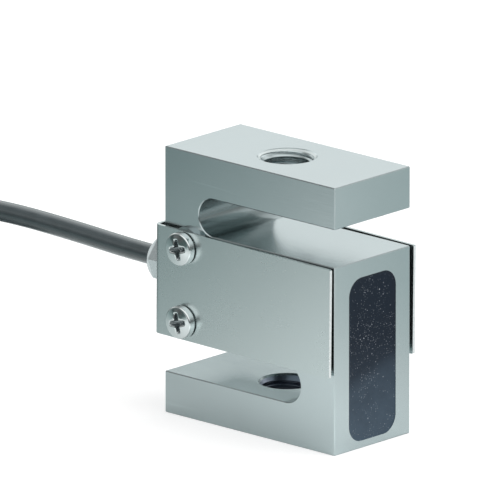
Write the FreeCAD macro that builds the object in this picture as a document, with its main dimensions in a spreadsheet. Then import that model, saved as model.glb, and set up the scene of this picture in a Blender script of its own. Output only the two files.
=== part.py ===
import FreeCAD
import Part
import Sketcher
import math
import os

# S-type load cell: a machined steel S, a folded side cover on spacer washers, a potted end pocket,
# a cable gland and a four-core cable folded into a hank.
#
# Millimetres, +Z up. The origin lies on the load axis at the bottom face. +X is the potted end,
# -X the cable end, -Y the front.

SIZES = [
    ("body_width", 50.8),
    ("body_height", 61.0),
    ("body_depth", 24.5),
    ("arm_thickness", 9.5),
    ("slot_gap", 8.6),
    ("web_thickness", 10.2),
    ("edge_break", 0.2),
    ("load_thread", 12.0),
    ("load_thread_mouth", 13.4),
    ("load_thread_inner_mouth", 12.8),
    ("load_thread_mouth_depth", 0.4),
    # gauge pockets either side of the shear web
    ("shear_web", 3.0),
    ("gauge_pocket_bore", 17.0),
    ("channel_bore", 2.4),
    ("channel_wall_gap", 0.05),
    # end pocket
    ("end_pocket_width", 15.2),
    ("end_pocket_foot", 1.7),
    ("end_pocket_top_wall", 3.9),
    ("end_pocket_depth", 5.5),
    ("end_pocket_corner", 4.0),
    ("potting_recess", 0.2),
    ("board_width", 11.0),
    ("board_height", 30.0),
    ("board_thickness", 1.0),
    ("board_standoff", 0.8),
    ("resistor_length", 3.2),
    ("resistor_width", 1.6),
    ("resistor_height", 0.6),
    ("resistor_pitch", 5.0),
    # side cover and what holds it
    ("sheet_thickness", 0.7),
    ("cover_gap", 1.0),
    ("cover_height", 24.9),
    ("cover_rise", 0.3),
    ("cover_lean", 0.6),
    ("cover_bend_radius", 0.8),
    ("cover_corner_radius", 0.4),
    ("cover_gland_opening", 12.6),
    ("screw_thread", 4.0),
    ("screw_hole_clearance", 0.05),
    ("screw_length", 8.0),
    ("screw_hole_spare", 1.0),
    ("screw_head_width", 7.4),
    ("screw_head_height", 2.5),
    ("screw_head_round", 0.4),
    ("screw_inset", 7.2),
    ("screw_below_cover_top", 3.5),
    ("screw_spacing", 16.8),
    ("recess_span", 4.4),
    ("recess_width", 0.95),
    ("recess_depth", 1.8),
    ("recess_turn", 12.0),
    ("washer_outside", 9.0),
    ("plain_hole_clearance", 0.15),
    # gauges on the shear web
    ("gauge_length", 8.0),
    ("gauge_height", 7.0),
    ("gauge_foil", 0.1),
    ("bead_size", 0.9),
    ("bead_height", 0.3),
    ("bead_pitch", 1.4),
    ("bead_inset", 0.8),
    ("terminal_width", 2.6),
    ("terminal_height", 7.0),
    ("terminal_gap", 0.5),
    ("jumper_wire", 0.25),
    ("jumper_reach", 0.8),
    ("ribbon_height", 1.2),
    ("ribbon_thickness", 0.3),
    ("coating_recess", 0.75),
    # gland
    ("gland_thread", 8.0),
    ("gland_hole_depth", 9.5),
    ("gland_shank", 5.0),
    ("gasket_thickness", 0.8),
    ("gasket_outside", 10.6),
    ("gland_hex", 10.0),
    ("gland_hex_length", 4.6),
    ("gland_neck_thread", 6.8),
    ("gland_neck_length", 3.6),
    ("gland_nut_hex", 8.8),
    ("gland_nut_length", 6.6),
    ("gland_nut_lip", 1.2),
    ("gland_nut_rim", 8.7),
    ("gland_nut_rim_break", 0.3),
    ("gland_nut_corner", 1.0),
    ("gland_nut_turn", 8.0),
    ("gland_nut_gap", 1.1),
    ("gland_fit", 0.05),
    ("gland_cable_gap", 0.15),
    # cable
    ("cable_jacket", 4.6),
    ("jacket_end_inset", 3.3),
    ("core_insulation", 1.0),
    ("core_spacing", 1.1),
    ("core_root_offset", 0.6),
    ("channel_lead_in", 0.5),
    ("hank_columns", 2.0),
    ("hank_layers", 6.0),
    ("hank_run", 84.0),
    ("hank_mean_radius", 16.1),
    ("hank_slack", 0.3),
    ("hank_rounding", 1.5),
    ("tie_slack", 0.15),
    ("tie_thickness", 0.8),
    ("tie_width", 3.6),
    ("tie_head_length", 6.0),
    ("tie_head_height", 3.4),
    ("sleeve_wall", 0.5),
    ("sleeve_length", 12.0),
    ("bare_wire", 0.5),
    ("bare_length", 6.0),
]

# places worked out from the sizes, written as the expressions that the features are bound to
HALF_WIDTH = "sizes.body_width / 2"
HALF_DEPTH = "sizes.body_depth / 2"
MID_HEIGHT = "sizes.body_height / 2"
UPPER_SLOT = "(sizes.body_height - sizes.arm_thickness - sizes.slot_gap / 2)"
LOWER_SLOT = "(sizes.arm_thickness + sizes.slot_gap / 2)"
SLOT_CENTRE = "(sizes.body_width / 2 - sizes.web_thickness - sizes.slot_gap / 2)"
BLOCK_TOP = "(sizes.body_height - sizes.arm_thickness - sizes.slot_gap)"
COVER_BOTTOM = "(" + BLOCK_TOP + " + sizes.cover_rise - sizes.cover_height)"
COVER_INSIDE = "(sizes.body_depth / 2 + sizes.cover_gap)"
COVER_OUTSIDE = "(sizes.body_depth / 2 + sizes.cover_gap + sizes.sheet_thickness)"
COVER_END_INSIDE = "(sizes.body_width / 2 + sizes.cover_gap)"
COVER_END_OUTSIDE = "(sizes.body_width / 2 + sizes.cover_gap + sizes.sheet_thickness)"
SCREW_X = "(sizes.screw_inset - sizes.body_width / 2)"
TOP_SCREW_Z = "(" + BLOCK_TOP + " - sizes.screw_below_cover_top)"
WEB_FACE = "(sizes.shear_web / 2)"
GAUGE_POCKET_DEPTH = "(sizes.body_depth - sizes.shear_web) / 2"
CHANNEL_Y = "(sizes.shear_web / 2 + sizes.channel_wall_gap + sizes.channel_bore / 2)"
POCKET_FLOOR_X = "(sizes.body_width / 2 - sizes.end_pocket_depth)"
BOARD_X = "(" + POCKET_FLOOR_X + " + sizes.board_standoff)"
END_POCKET_TOP = "(" + BLOCK_TOP + " - sizes.end_pocket_top_wall)"
END_POCKET_MID = "((sizes.end_pocket_foot + " + END_POCKET_TOP + ") / 2)"
GLAND_HEX_X = "(sizes.body_width / 2 + sizes.gasket_thickness)"
NECK_X = "(" + GLAND_HEX_X + " + sizes.gland_hex_length)"
NECK_END_X = "(" + NECK_X + " + sizes.gland_neck_length)"
NUT_X = "(" + NECK_X + " + sizes.gland_nut_gap)"
NUT_END_X = "(" + NUT_X + " + sizes.gland_nut_length)"
NUT_LIP_X = "(" + NUT_END_X + " - sizes.gland_nut_lip)"
JACKET_END_X = "(" + NECK_X + " - sizes.jacket_end_inset)"
CABLE_HOLE = "(sizes.cable_jacket / 2 + sizes.gland_cable_gap)"
NECK_RADIUS = "(sizes.gland_neck_thread / 2)"
HANK_HALF_SPAN = "(sizes.hank_columns * sizes.cable_jacket / 2)"
HANK_INSIDE = "(sizes.hank_mean_radius - " + HANK_HALF_SPAN + ")"
HANK_OUTSIDE = "(sizes.hank_mean_radius + " + HANK_HALF_SPAN + " + sizes.hank_slack)"
HANK_HEIGHT = "(sizes.hank_layers * sizes.cable_jacket + sizes.hank_slack)"
TIE_INSIDE = "(" + HANK_INSIDE + " - sizes.tie_slack)"
TIE_OUTSIDE = "(" + HANK_OUTSIDE + " + sizes.tie_slack)"

# the gauge's tabs lie either side of the cores that pass over its middle
TAB_STEPS = (-2, -1, 1, 2)

# the cable's route: points counted from the gland's outer end, along -X and up from the gland's
# axis; then points over the hank's end and down on its front run; and those from the hank's lowest
# turn to the stripped end, which lies inside the hank
FROM_GLAND = [
    (6.5, 0.0, 0.0),
    (25.5, 0.0, 1.0),
    (46.5, 0.4, 1.3),
]
ONTO_HANK = [
    (-103.0, -0.8, 31.0),
    (-119.0, -4.6, 29.4),
    (-132.0, -10.0, 25.8),
    (-143.0, -16.4, 21.6),
]
HANK_X = "-160"
TAIL_ROUTE = [
    (-207.0, 16.0, 2.3),
    (-198.0, 13.9, 2.3),
    (-187.5, 10.2, 2.3),
    (-177.0, 4.8, 2.6),
    (-166.5, 1.0, 2.8),
    (-156.0, 1.0, 2.8),
]
# the stripped cores: which side and height each leaves the sleeve at, and how far it fans out
STRIPPED = (
    ("lead_red", 1, 1, 6.4),
    ("lead_green", 1, -1, 2.2),
    ("lead_white", -1, -1, -2.4),
    ("lead_black", -1, 1, -6.6),
)

DOC = FreeCAD.newDocument("load_cell")
SHEET = DOC.addObject("Spreadsheet::Sheet", "sizes")
NODES = []


def fill_sheet():
    """Write each driving size beside its name and give its cell that name as an alias."""
    for row, (name, value) in enumerate(SIZES, start=1):
        SHEET.set("A%d" % row, name)
        SHEET.set("B%d" % row, str(value))
        SHEET.setAlias("B%d" % row, name)
    DOC.recompute()


def number(expression):
    """Return what an expression over the sheet comes to."""
    return float(SHEET.evalExpression(expression.replace("sizes.", "")))


# ---------------------------------------------------------------- sketches and features

def new_body(label):
    body = DOC.addObject("PartDesign::Body", label)
    body.Label = label
    return body


def origin_feature(body, role):
    return next(item for item in body.Origin.OriginFeatures if item.Role == role)


def new_sketch(body, name, plane, lift="0", across="0", up="0"):
    """Put a sketch on one of the body's own origin planes, moved by expressions."""
    sketch = body.newObject("Sketcher::SketchObject", name)
    sketch.AttachmentSupport = [(origin_feature(body, plane), "")]
    sketch.MapMode = "FlatFace"
    sketch.setExpression("AttachmentOffset.Base.x", across)
    sketch.setExpression("AttachmentOffset.Base.y", up)
    sketch.setExpression("AttachmentOffset.Base.z", lift)
    return sketch


def place_point(sketch, geometry, position, across, up):
    """Tie a point of a sketch to two expressions; a zero lies on the axis."""
    for kind, axis, expression in (("DistanceX", -2, across), ("DistanceY", -1, up)):
        if expression == "0":
            sketch.addConstraint(Sketcher.Constraint("PointOnObject", geometry, position, axis))
            continue
        rule = Sketcher.Constraint(kind, -1, 1, geometry, position, number(expression))
        index = sketch.addConstraint(rule)
        sketch.setExpression("Constraints[%d]" % index, expression)


def outline(sketch, corners):
    """Draw a closed outline of straight lines through corners given as pairs of expressions."""
    points = [FreeCAD.Vector(number(across), number(up), 0) for across, up in corners]
    first = sketch.GeometryCount
    count = len(points)
    for i in range(count):
        sketch.addGeometry(Part.LineSegment(points[i], points[(i + 1) % count]))
    for i in range(count):
        after = first + (i + 1) % count
        sketch.addConstraint(Sketcher.Constraint("Coincident", first + i, 2, after, 1))
    for i, (across, up) in enumerate(corners):
        place_point(sketch, first + i, 1, across, up)


def rectangle(sketch, left, right, low, high):
    outline(sketch, [(left, low), (right, low), (right, high), (left, high)])


def circle(sketch, across, up, diameter):
    centre = FreeCAD.Vector(number(across), number(up), 0)
    round_edge = Part.Circle(centre, FreeCAD.Vector(0, 0, 1), number(diameter) / 2)
    index = sketch.addGeometry(round_edge)
    place_point(sketch, index, 3, across, up)
    rule = sketch.addConstraint(Sketcher.Constraint("Diameter", index, number(diameter)))
    sketch.setExpression("Constraints[%d]" % rule, diameter)


def round_ended_slot(sketch, centre, mid, width, mouth):
    """Draw a slot that is open at its mouth and ends in a half circle about (centre, mid)."""
    radius = number(width) / 2
    x0, y0, x1 = number(centre), number(mid), number(mouth)
    side = 1 if x1 > x0 else -1
    start = math.pi / 2 if side > 0 else -math.pi / 2
    round_edge = Part.Circle(FreeCAD.Vector(x0, y0, 0), FreeCAD.Vector(0, 0, 1), radius)
    arc = sketch.addGeometry(Part.ArcOfCircle(round_edge, start, start + math.pi))
    first = FreeCAD.Vector(x0, y0 + side * radius, 0)
    second = FreeCAD.Vector(x1, y0 + side * radius, 0)
    third = FreeCAD.Vector(x1, y0 - side * radius, 0)
    fourth = FreeCAD.Vector(x0, y0 - side * radius, 0)
    upper = sketch.addGeometry(Part.LineSegment(first, second))
    end = sketch.addGeometry(Part.LineSegment(second, third))
    lower = sketch.addGeometry(Part.LineSegment(third, fourth))
    for rule in (
        Sketcher.Constraint("Tangent", arc, 1, upper, 1),
        Sketcher.Constraint("Coincident", upper, 2, end, 1),
        Sketcher.Constraint("Coincident", end, 2, lower, 1),
        Sketcher.Constraint("Tangent", lower, 2, arc, 2),
        Sketcher.Constraint("Horizontal", upper),
        Sketcher.Constraint("Horizontal", lower),
        Sketcher.Constraint("Vertical", end),
    ):
        sketch.addConstraint(rule)
    place_point(sketch, arc, 3, centre, mid)
    rule = sketch.addConstraint(Sketcher.Constraint("Radius", arc, radius))
    sketch.setExpression("Constraints[%d]" % rule, width + " / 2")
    rule = sketch.addConstraint(Sketcher.Constraint("DistanceX", -1, 1, end, 1, x1))
    sketch.setExpression("Constraints[%d]" % rule, mouth)


def oblong(sketch, half_run, radius):
    """Draw two straight runs joined by half circles, about the sketch's origin."""
    reach, size = number(half_run), number(radius)
    middles = [FreeCAD.Vector(reach, 0, 0), FreeCAD.Vector(-reach, 0, 0)]
    arcs = []
    for middle, start in zip(middles, (-math.pi / 2, math.pi / 2)):
        round_edge = Part.Circle(middle, FreeCAD.Vector(0, 0, 1), size)
        arcs.append(sketch.addGeometry(Part.ArcOfCircle(round_edge, start, start + math.pi)))
    rise = FreeCAD.Vector(0, size, 0)
    far = sketch.addGeometry(Part.LineSegment(middles[0] + rise, middles[1] + rise))
    near_side = sketch.addGeometry(Part.LineSegment(middles[1] - rise, middles[0] - rise))
    for rule in (
        Sketcher.Constraint("Tangent", arcs[0], 2, far, 1),
        Sketcher.Constraint("Tangent", far, 2, arcs[1], 1),
        Sketcher.Constraint("Tangent", arcs[1], 2, near_side, 1),
        Sketcher.Constraint("Tangent", near_side, 2, arcs[0], 1),
    ):
        sketch.addConstraint(rule)
    for arc, across in zip(arcs, (half_run, "-" + half_run)):
        place_point(sketch, arc, 3, across, "0")
        rule = sketch.addConstraint(Sketcher.Constraint("Radius", arc, size))
        sketch.setExpression("Constraints[%d]" % rule, radius)


def add_feature(body, kind, name, sketch, length=None, side="One side", turned=False):
    """Add a pad or pocket of a sketch; with no length it goes through everything."""
    feature = body.newObject("PartDesign::" + kind, name)
    feature.Profile = sketch
    feature.SideType = side
    feature.Reversed = turned
    if length is None:
        feature.Type = "ThroughAll"
    else:
        feature.setExpression("Length", length)
    body.Tip = feature
    DOC.recompute()
    return feature


def add_turned(body, kind, name, sketch, axis="V_Axis"):
    """Add a revolution or groove of a sketch about one of the sketch's own axes."""
    feature = body.newObject("PartDesign::" + kind, name)
    feature.Profile = sketch
    feature.ReferenceAxis = (sketch, [axis])
    feature.Angle = 360
    body.Tip = feature
    DOC.recompute()
    return feature


def add_mirror(body, name, originals, plane="XZ_Plane"):
    """Repeat features, or the whole body where none are given, on the other side of a plane."""
    feature = body.newObject("PartDesign::Mirrored", name)
    feature.Originals = originals
    if not originals:
        feature.TransformMode = "Whole shape"
    feature.MirrorPlane = (origin_feature(body, plane), [""])
    body.Tip = feature
    DOC.recompute()
    return feature


def add_row(body, name, axis, length, turned=False, count=2):
    """Repeat the whole body in a straight row."""
    feature = body.newObject("PartDesign::LinearPattern", name)
    feature.TransformMode = "Whole shape"
    feature.Direction = (origin_feature(body, axis), [""])
    feature.Reversed = turned
    feature.Occurrences = count
    feature.setExpression("Length", length)
    body.Tip = feature
    DOC.recompute()
    return feature


def dress(body, kind, name, base, keep, size, size_property):
    """Fillet or chamfer the edges of a feature whose box passes the test."""
    edges = ["Edge%d" % (i + 1) for i, edge in enumerate(base.Shape.Edges) if keep(edge)]
    feature = body.newObject("PartDesign::" + kind, name)
    feature.Base = (base, edges)
    feature.setExpression(size_property, size)
    body.Tip = feature
    DOC.recompute()
    return feature


def near(a, b):
    return abs(a - b) < 1e-4


def runs_along(edge, direction, length):
    """True for an edge that is straight along X, Y or Z and of the given length."""
    box = edge.BoundBox
    spans = {"X": box.XLength, "Y": box.YLength, "Z": box.ZLength}
    others = [span for name, span in spans.items() if name != direction]
    return near(spans[direction], length) and max(others) < 1e-4


def keep_node(node, label):
    """List a finished piece under the name of its file."""
    node.Label = label
    NODES.append((label, node))
    return node


def cut_from(base, tools, label):
    """Cut pieces out of another, one after the other."""
    for i, tool in enumerate(tools):
        cut = DOC.addObject("Part::Cut", "%s_cut_%d" % (label, i + 1))
        cut.Base = base
        cut.Tool = tool
        base = cut
    DOC.recompute()
    return base


# ---------------------------------------------------------------- the S-shaped body

def cut_load_thread(body, name, face, inner):
    """Cut a threaded hole at its nominal diameter on the load axis, broken open at both mouths."""
    sketch = new_sketch(body, name + "_profile", "XZ_Plane")
    inward, outward = ("+", "-") if number(inner) > number(face) else ("-", "+")
    depth = " sizes.load_thread_mouth_depth"
    outline(sketch, [
        ("0", face),
        ("sizes.load_thread_mouth / 2", face),
        ("sizes.load_thread / 2", "%s %s%s" % (face, inward, depth)),
        ("sizes.load_thread / 2", "%s %s%s" % (inner, outward, depth)),
        ("sizes.load_thread_inner_mouth / 2", inner),
        ("0", inner),
    ])
    add_turned(body, "Groove", name, sketch)


def build_spring_element():
    """The S: a block, two round-ended slots, the threads and every pocket and drilled hole."""
    body = new_body("spring_element")
    side_view = new_sketch(body, "side_view", "XZ_Plane")
    rectangle(side_view, "-" + HALF_WIDTH, HALF_WIDTH, "0", "sizes.body_height")
    add_feature(body, "Pad", "block", side_view, "sizes.body_depth", side="Symmetric")

    upper = new_sketch(body, "upper_slot_outline", "XZ_Plane")
    beyond = "(sizes.body_width / 2 + sizes.slot_gap)"
    round_ended_slot(upper, "-" + SLOT_CENTRE, UPPER_SLOT, "sizes.slot_gap", beyond)
    add_feature(body, "Pocket", "upper_slot", upper, side="Symmetric")
    lower = new_sketch(body, "lower_slot_outline", "XZ_Plane")
    round_ended_slot(lower, SLOT_CENTRE, LOWER_SLOT, "sizes.slot_gap", "-" + beyond)
    slots = add_feature(body, "Pocket", "lower_slot", lower, side="Symmetric")

    depth = number("sizes.body_depth")

    def outer_edge(edge):
        box = edge.BoundBox
        on_face = box.YLength < 1e-4 and near(abs(box.YMin), depth / 2)
        return on_face or runs_along(edge, "Y", depth) and not on_slot_floor(edge)

    def on_slot_floor(edge):
        """The two lines where a slot's flat runs into its round end stay unbroken."""
        centre = number(SLOT_CENTRE)
        return near(abs(edge.BoundBox.XMin), centre)

    dress(body, "Chamfer", "edge_break", slots, outer_edge, "sizes.edge_break", "Size")

    cut_load_thread(body, "lower_thread", "0", "sizes.arm_thickness")
    top = "sizes.body_height"
    cut_load_thread(body, "upper_thread", top, "(sizes.body_height - sizes.arm_thickness)")

    gauge = new_sketch(body, "gauge_pocket_outline", "XZ_Plane", lift=HALF_DEPTH)
    circle(gauge, "0", MID_HEIGHT, "sizes.gauge_pocket_bore")
    front = add_feature(body, "Pocket", "gauge_pocket_front", gauge, GAUGE_POCKET_DEPTH)
    add_mirror(body, "gauge_pocket_back", [front])

    holes = new_sketch(body, "screw_hole_centres", "XZ_Plane", lift=HALF_DEPTH)
    bore = "sizes.screw_thread + 2 * sizes.screw_hole_clearance"
    circle(holes, SCREW_X, TOP_SCREW_Z, bore)
    circle(holes, SCREW_X, TOP_SCREW_Z + " - sizes.screw_spacing", bore)
    engaged = "sizes.screw_length - sizes.sheet_thickness - sizes.cover_gap"
    drilled = add_feature(body, "Pocket", "screw_holes_front", holes,
                          engaged + " + sizes.screw_hole_spare")
    add_mirror(body, "screw_holes_back", [drilled])

    end = new_sketch(body, "end_pocket_outline", "YZ_Plane", lift=HALF_WIDTH)
    rectangle(end, "-sizes.end_pocket_width / 2", "sizes.end_pocket_width / 2",
              "sizes.end_pocket_foot", END_POCKET_TOP)
    end_pocket = add_feature(body, "Pocket", "end_pocket", end, "sizes.end_pocket_depth")
    half = number("sizes.end_pocket_width") / 2

    def pocket_corner(edge):
        along = runs_along(edge, "X", number("sizes.end_pocket_depth"))
        return along and near(abs(edge.BoundBox.YMin), half)

    dress(body, "Fillet", "end_pocket_corners", end_pocket, pocket_corner,
          "sizes.end_pocket_corner", "Radius")

    gland = new_sketch(body, "gland_hole_outline", "YZ_Plane", lift="-" + HALF_WIDTH)
    circle(gland, "0", MID_HEIGHT, "sizes.gland_thread + 2 * sizes.gland_fit")
    add_feature(body, "Pocket", "gland_hole", gland, "sizes.gland_hole_depth", turned=True)

    channels = new_sketch(body, "channel_outline", "YZ_Plane", lift=POCKET_FLOOR_X)
    circle(channels, CHANNEL_Y, MID_HEIGHT, "sizes.channel_bore")
    circle(channels, "-" + CHANNEL_Y, MID_HEIGHT, "sizes.channel_bore")
    add_feature(body, "Pocket", "wire_channels", channels,
                "sizes.body_width - sizes.end_pocket_depth - sizes.gland_hole_depth")
    return keep_node(body, "spring_element")


# ---------------------------------------------------------------- the cover and its fixings

def build_side_cover():
    """One sheet folded round the front, cable end and back, a little out of level on its screws."""
    body = new_body("side_cover")
    plan = new_sketch(body, "cover_outside", "XY_Plane", lift=COVER_BOTTOM)
    rectangle(plan, "-" + COVER_END_OUTSIDE, HALF_WIDTH, "-" + COVER_OUTSIDE, COVER_OUTSIDE)
    solid = add_feature(body, "Pad", "cover_blank", plan, "sizes.cover_height")
    height = number("sizes.cover_height")

    def bend(edge):
        return runs_along(edge, "Z", height) and edge.BoundBox.XMin < 0

    outside = dress(body, "Fillet", "outer_bends", solid, bend,
                    "sizes.cover_bend_radius + sizes.sheet_thickness", "Radius")
    hollow = new_sketch(body, "cover_inside", "XY_Plane", lift=COVER_BOTTOM)
    rectangle(hollow, "-" + COVER_END_INSIDE, "sizes.body_width", "-" + COVER_INSIDE, COVER_INSIDE)
    inside = add_feature(body, "Pocket", "cover_hollow", hollow, side="Symmetric")
    end = number(COVER_END_INSIDE)

    def inner_bend(edge):
        return runs_along(edge, "Z", height) and near(edge.BoundBox.XMin, -end)

    bent = dress(body, "Fillet", "inner_bends", inside, inner_bend,
                 "sizes.cover_bend_radius", "Radius")
    sheet = number("sizes.sheet_thickness")

    def free_corner(edge):
        return runs_along(edge, "Y", sheet) and edge.BoundBox.XMin > 0

    dress(body, "Fillet", "free_corners", bent, free_corner, "sizes.cover_corner_radius", "Radius")
    holes = new_sketch(body, "cover_screw_holes", "XZ_Plane")
    bore = "sizes.screw_thread + 2 * sizes.plain_hole_clearance"
    circle(holes, SCREW_X, TOP_SCREW_Z, bore)
    circle(holes, SCREW_X, TOP_SCREW_Z + " - sizes.screw_spacing", bore)
    add_feature(body, "Pocket", "screw_clearance", holes, side="Symmetric")
    opening = new_sketch(body, "gland_opening_outline", "YZ_Plane", lift="-" + COVER_END_OUTSIDE)
    circle(opening, "0", MID_HEIGHT, "sizes.cover_gland_opening")
    add_feature(body, "Pocket", "gland_opening", opening,
                "sizes.cover_gap + sizes.sheet_thickness", turned=True)
    between = FreeCAD.Vector(number(SCREW_X), 0, number(TOP_SCREW_Z + " - sizes.screw_spacing / 2"))
    lean = FreeCAD.Rotation(FreeCAD.Vector(0, 1, 0), number("sizes.cover_lean"))
    body.Placement = FreeCAD.Placement(FreeCAD.Vector(), lean, between)
    return keep_node(body, "side_cover")


def repeat_at_screws(body):
    """Repeat the piece at the upper front screw down the plate and then on the back."""
    add_row(body, body.Name + "_pair", "Z_Axis", "sizes.screw_spacing", turned=True)
    add_mirror(body, body.Name + "_both_sides", [])


def build_spacer_washers():
    """Plain washers that hold the cover off the body."""
    body = new_body("spacer_washers")
    ring = new_sketch(body, "washer_outline", "XZ_Plane", lift=HALF_DEPTH)
    circle(ring, SCREW_X, TOP_SCREW_Z, "sizes.washer_outside")
    circle(ring, SCREW_X, TOP_SCREW_Z, "sizes.screw_thread + 2 * sizes.plain_hole_clearance")
    add_feature(body, "Pad", "washer", ring, "sizes.cover_gap")
    repeat_at_screws(body)
    return keep_node(body, "spacer_washers")


def build_cover_screws():
    """Cross-recessed pan-head screws through cover and washer into the body."""
    body = new_body("cover_screws")
    half = new_sketch(body, "screw_half_section", "XY_Plane", lift=TOP_SCREW_Z, across=SCREW_X)
    seat = "-" + COVER_OUTSIDE
    outline(half, [
        ("0", seat + " - sizes.screw_head_height"),
        ("sizes.screw_head_width / 2", seat + " - sizes.screw_head_height"),
        ("sizes.screw_head_width / 2", seat),
        ("sizes.screw_thread / 2", seat),
        ("sizes.screw_thread / 2", seat + " + sizes.screw_length"),
        ("0", seat + " + sizes.screw_length"),
    ])
    blank = add_turned(body, "Revolution", "screw_blank", half)
    top = -number(COVER_OUTSIDE) - number("sizes.screw_head_height")

    def head_rim(edge):
        return edge.BoundBox.YLength < 1e-4 and near(edge.BoundBox.YMin, top)

    dress(body, "Fillet", "head_round", blank, head_rim, "sizes.screw_head_round", "Radius")
    cross = new_sketch(body, "cross_outline", "XZ_Plane", across=SCREW_X, up=TOP_SCREW_Z,
                       lift=COVER_OUTSIDE + " + sizes.screw_head_height")
    cross.setExpression("AttachmentOffset.Rotation.Angle", "sizes.recess_turn")
    arm, half_width = "sizes.recess_span / 2", "sizes.recess_width / 2"
    quarter = [(arm, "-" + half_width), (arm, half_width), (half_width, half_width)]
    turns = [quarter,
             [("-" + y if not y.startswith("-") else y[1:], x) for x, y in quarter],
             [("-" + x, "-" + y if not y.startswith("-") else y[1:]) for x, y in quarter],
             [(y, "-" + x) for x, y in quarter]]
    outline(cross, [corner for turn in turns for corner in turn])
    add_feature(body, "Pocket", "cross_recess", cross, "sizes.recess_depth")
    repeat_at_screws(body)
    return keep_node(body, "cover_screws")


# ---------------------------------------------------------------- what the end pocket holds

def build_circuit_board():
    """The compensation board, held off the pocket's floor by the potting."""
    body = new_body("circuit_board")
    plan = new_sketch(body, "board_outline", "YZ_Plane", lift=BOARD_X)
    rectangle(plan, "-sizes.board_width / 2", "sizes.board_width / 2",
              END_POCKET_MID + " - sizes.board_height / 2",
              END_POCKET_MID + " + sizes.board_height / 2")
    add_feature(body, "Pad", "board", plan, "sizes.board_thickness")
    return keep_node(body, "circuit_board")


def build_resistors():
    """Four trimming resistors in a row on the board's outer face."""
    body = new_body("trim_resistors")
    plan = new_sketch(body, "resistor_outline", "YZ_Plane", lift=BOARD_X + " + sizes.board_thickness")
    lowest = END_POCKET_MID + " - 1.5 * sizes.resistor_pitch"
    rectangle(plan, "-sizes.resistor_length / 2", "sizes.resistor_length / 2",
              lowest + " - sizes.resistor_width / 2", lowest + " + sizes.resistor_width / 2")
    add_feature(body, "Pad", "resistor", plan, "sizes.resistor_height")
    add_row(body, "resistor_row", "Z_Axis", "3 * sizes.resistor_pitch", count=4)
    return keep_node(body, "trim_resistors")


def build_end_potting(inside):
    """The resin that fills the end pocket round the board and everything that reaches it."""
    body = new_body("potting_blank")
    plan = new_sketch(body, "potting_outline", "YZ_Plane", lift=POCKET_FLOOR_X)
    rectangle(plan, "-sizes.end_pocket_width / 2", "sizes.end_pocket_width / 2",
              "sizes.end_pocket_foot", END_POCKET_TOP)
    fill = "sizes.end_pocket_depth - sizes.potting_recess"
    solid = add_feature(body, "Pad", "potting_fill", plan, fill)

    def corner(edge):
        return runs_along(edge, "X", number(fill))

    dress(body, "Fillet", "potting_corners", solid, corner, "sizes.end_pocket_corner", "Radius")
    return keep_node(cut_from(body, inside, "end_potting"), "end_potting")


# ---------------------------------------------------------------- the gauges on the shear web

def build_gauge():
    """The front gauge: a foil on the web with a bead of solder on each of its four tabs."""
    body = new_body("gauge_front")
    foil = new_sketch(body, "foil_outline", "XZ_Plane", lift=WEB_FACE)
    rectangle(foil, "-sizes.gauge_length / 2", "sizes.gauge_length / 2",
              MID_HEIGHT + " - sizes.gauge_height / 2", MID_HEIGHT + " + sizes.gauge_height / 2")
    add_feature(body, "Pad", "foil", foil, "sizes.gauge_foil")
    beads = new_sketch(body, "bead_outlines", "XZ_Plane", lift=WEB_FACE + " + sizes.gauge_foil")
    middle, half = "sizes.gauge_length / 2 - sizes.bead_inset", " sizes.bead_size / 2"
    for step in TAB_STEPS:
        level = "%s + %d * sizes.bead_pitch" % (MID_HEIGHT, step)
        rectangle(beads, middle + " -" + half, middle + " +" + half,
                  level + " -" + half, level + " +" + half)
    add_feature(body, "Pad", "beads", beads, "sizes.bead_height - sizes.gauge_foil")
    return keep_node(body, "gauge_front")


def build_terminal():
    """The front terminal strip beside the gauge, as thick as the gauge's beads stand."""
    body = new_body("terminal_front")
    plan = new_sketch(body, "terminal_outline", "XZ_Plane", lift=WEB_FACE)
    left = "sizes.gauge_length / 2 + sizes.terminal_gap"
    rectangle(plan, left, left + " + sizes.terminal_width",
              MID_HEIGHT + " - sizes.terminal_height / 2",
              MID_HEIGHT + " + sizes.terminal_height / 2")
    add_feature(body, "Pad", "terminal", plan, "sizes.bead_height")
    return keep_node(body, "terminal_front")


def build_jumpers():
    """Four fine straight wires, each from a gauge tab over to the terminal strip."""
    wires = []
    for step in TAB_STEPS:
        wire = DOC.addObject("Part::Cylinder", "jumper_%d" % (step + 3))
        wire.setExpression("Radius", "sizes.jumper_wire / 2")
        wire.setExpression("Height", "sizes.bead_inset + sizes.terminal_gap + sizes.jumper_reach")
        wire.setExpression("Placement.Base.x", "sizes.gauge_length / 2 - sizes.bead_inset")
        wire.setExpression("Placement.Base.y",
                           "-" + WEB_FACE + " - sizes.bead_height - sizes.jumper_wire / 2")
        wire.setExpression("Placement.Base.z", "%s + %d * sizes.bead_pitch" % (MID_HEIGHT, step))
        wire.Placement.Rotation = FreeCAD.Rotation(FreeCAD.Vector(0, 1, 0), 90)
        wires.append(wire)
    group = DOC.addObject("Part::Compound", "jumpers_front")
    group.Links = wires
    return keep_node(group, "jumpers_front")


def build_ribbon():
    """The flat bridge lead from the terminal strip through the channel to the board."""
    ribbon = DOC.addObject("Part::Box", "ribbon_front")
    start = "(sizes.gauge_length / 2 + sizes.terminal_gap + sizes.terminal_width / 2)"
    ribbon.setExpression("Length", BOARD_X + " - " + start)
    ribbon.setExpression("Width", "sizes.ribbon_thickness")
    ribbon.setExpression("Height", "sizes.ribbon_height")
    ribbon.setExpression("Placement.Base.x", start)
    ribbon.setExpression("Placement.Base.y",
                         "-" + WEB_FACE + " - sizes.bead_height - sizes.ribbon_thickness")
    ribbon.setExpression("Placement.Base.z", MID_HEIGHT + " - sizes.ribbon_height / 2")
    return keep_node(ribbon, "ribbon_front")


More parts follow.
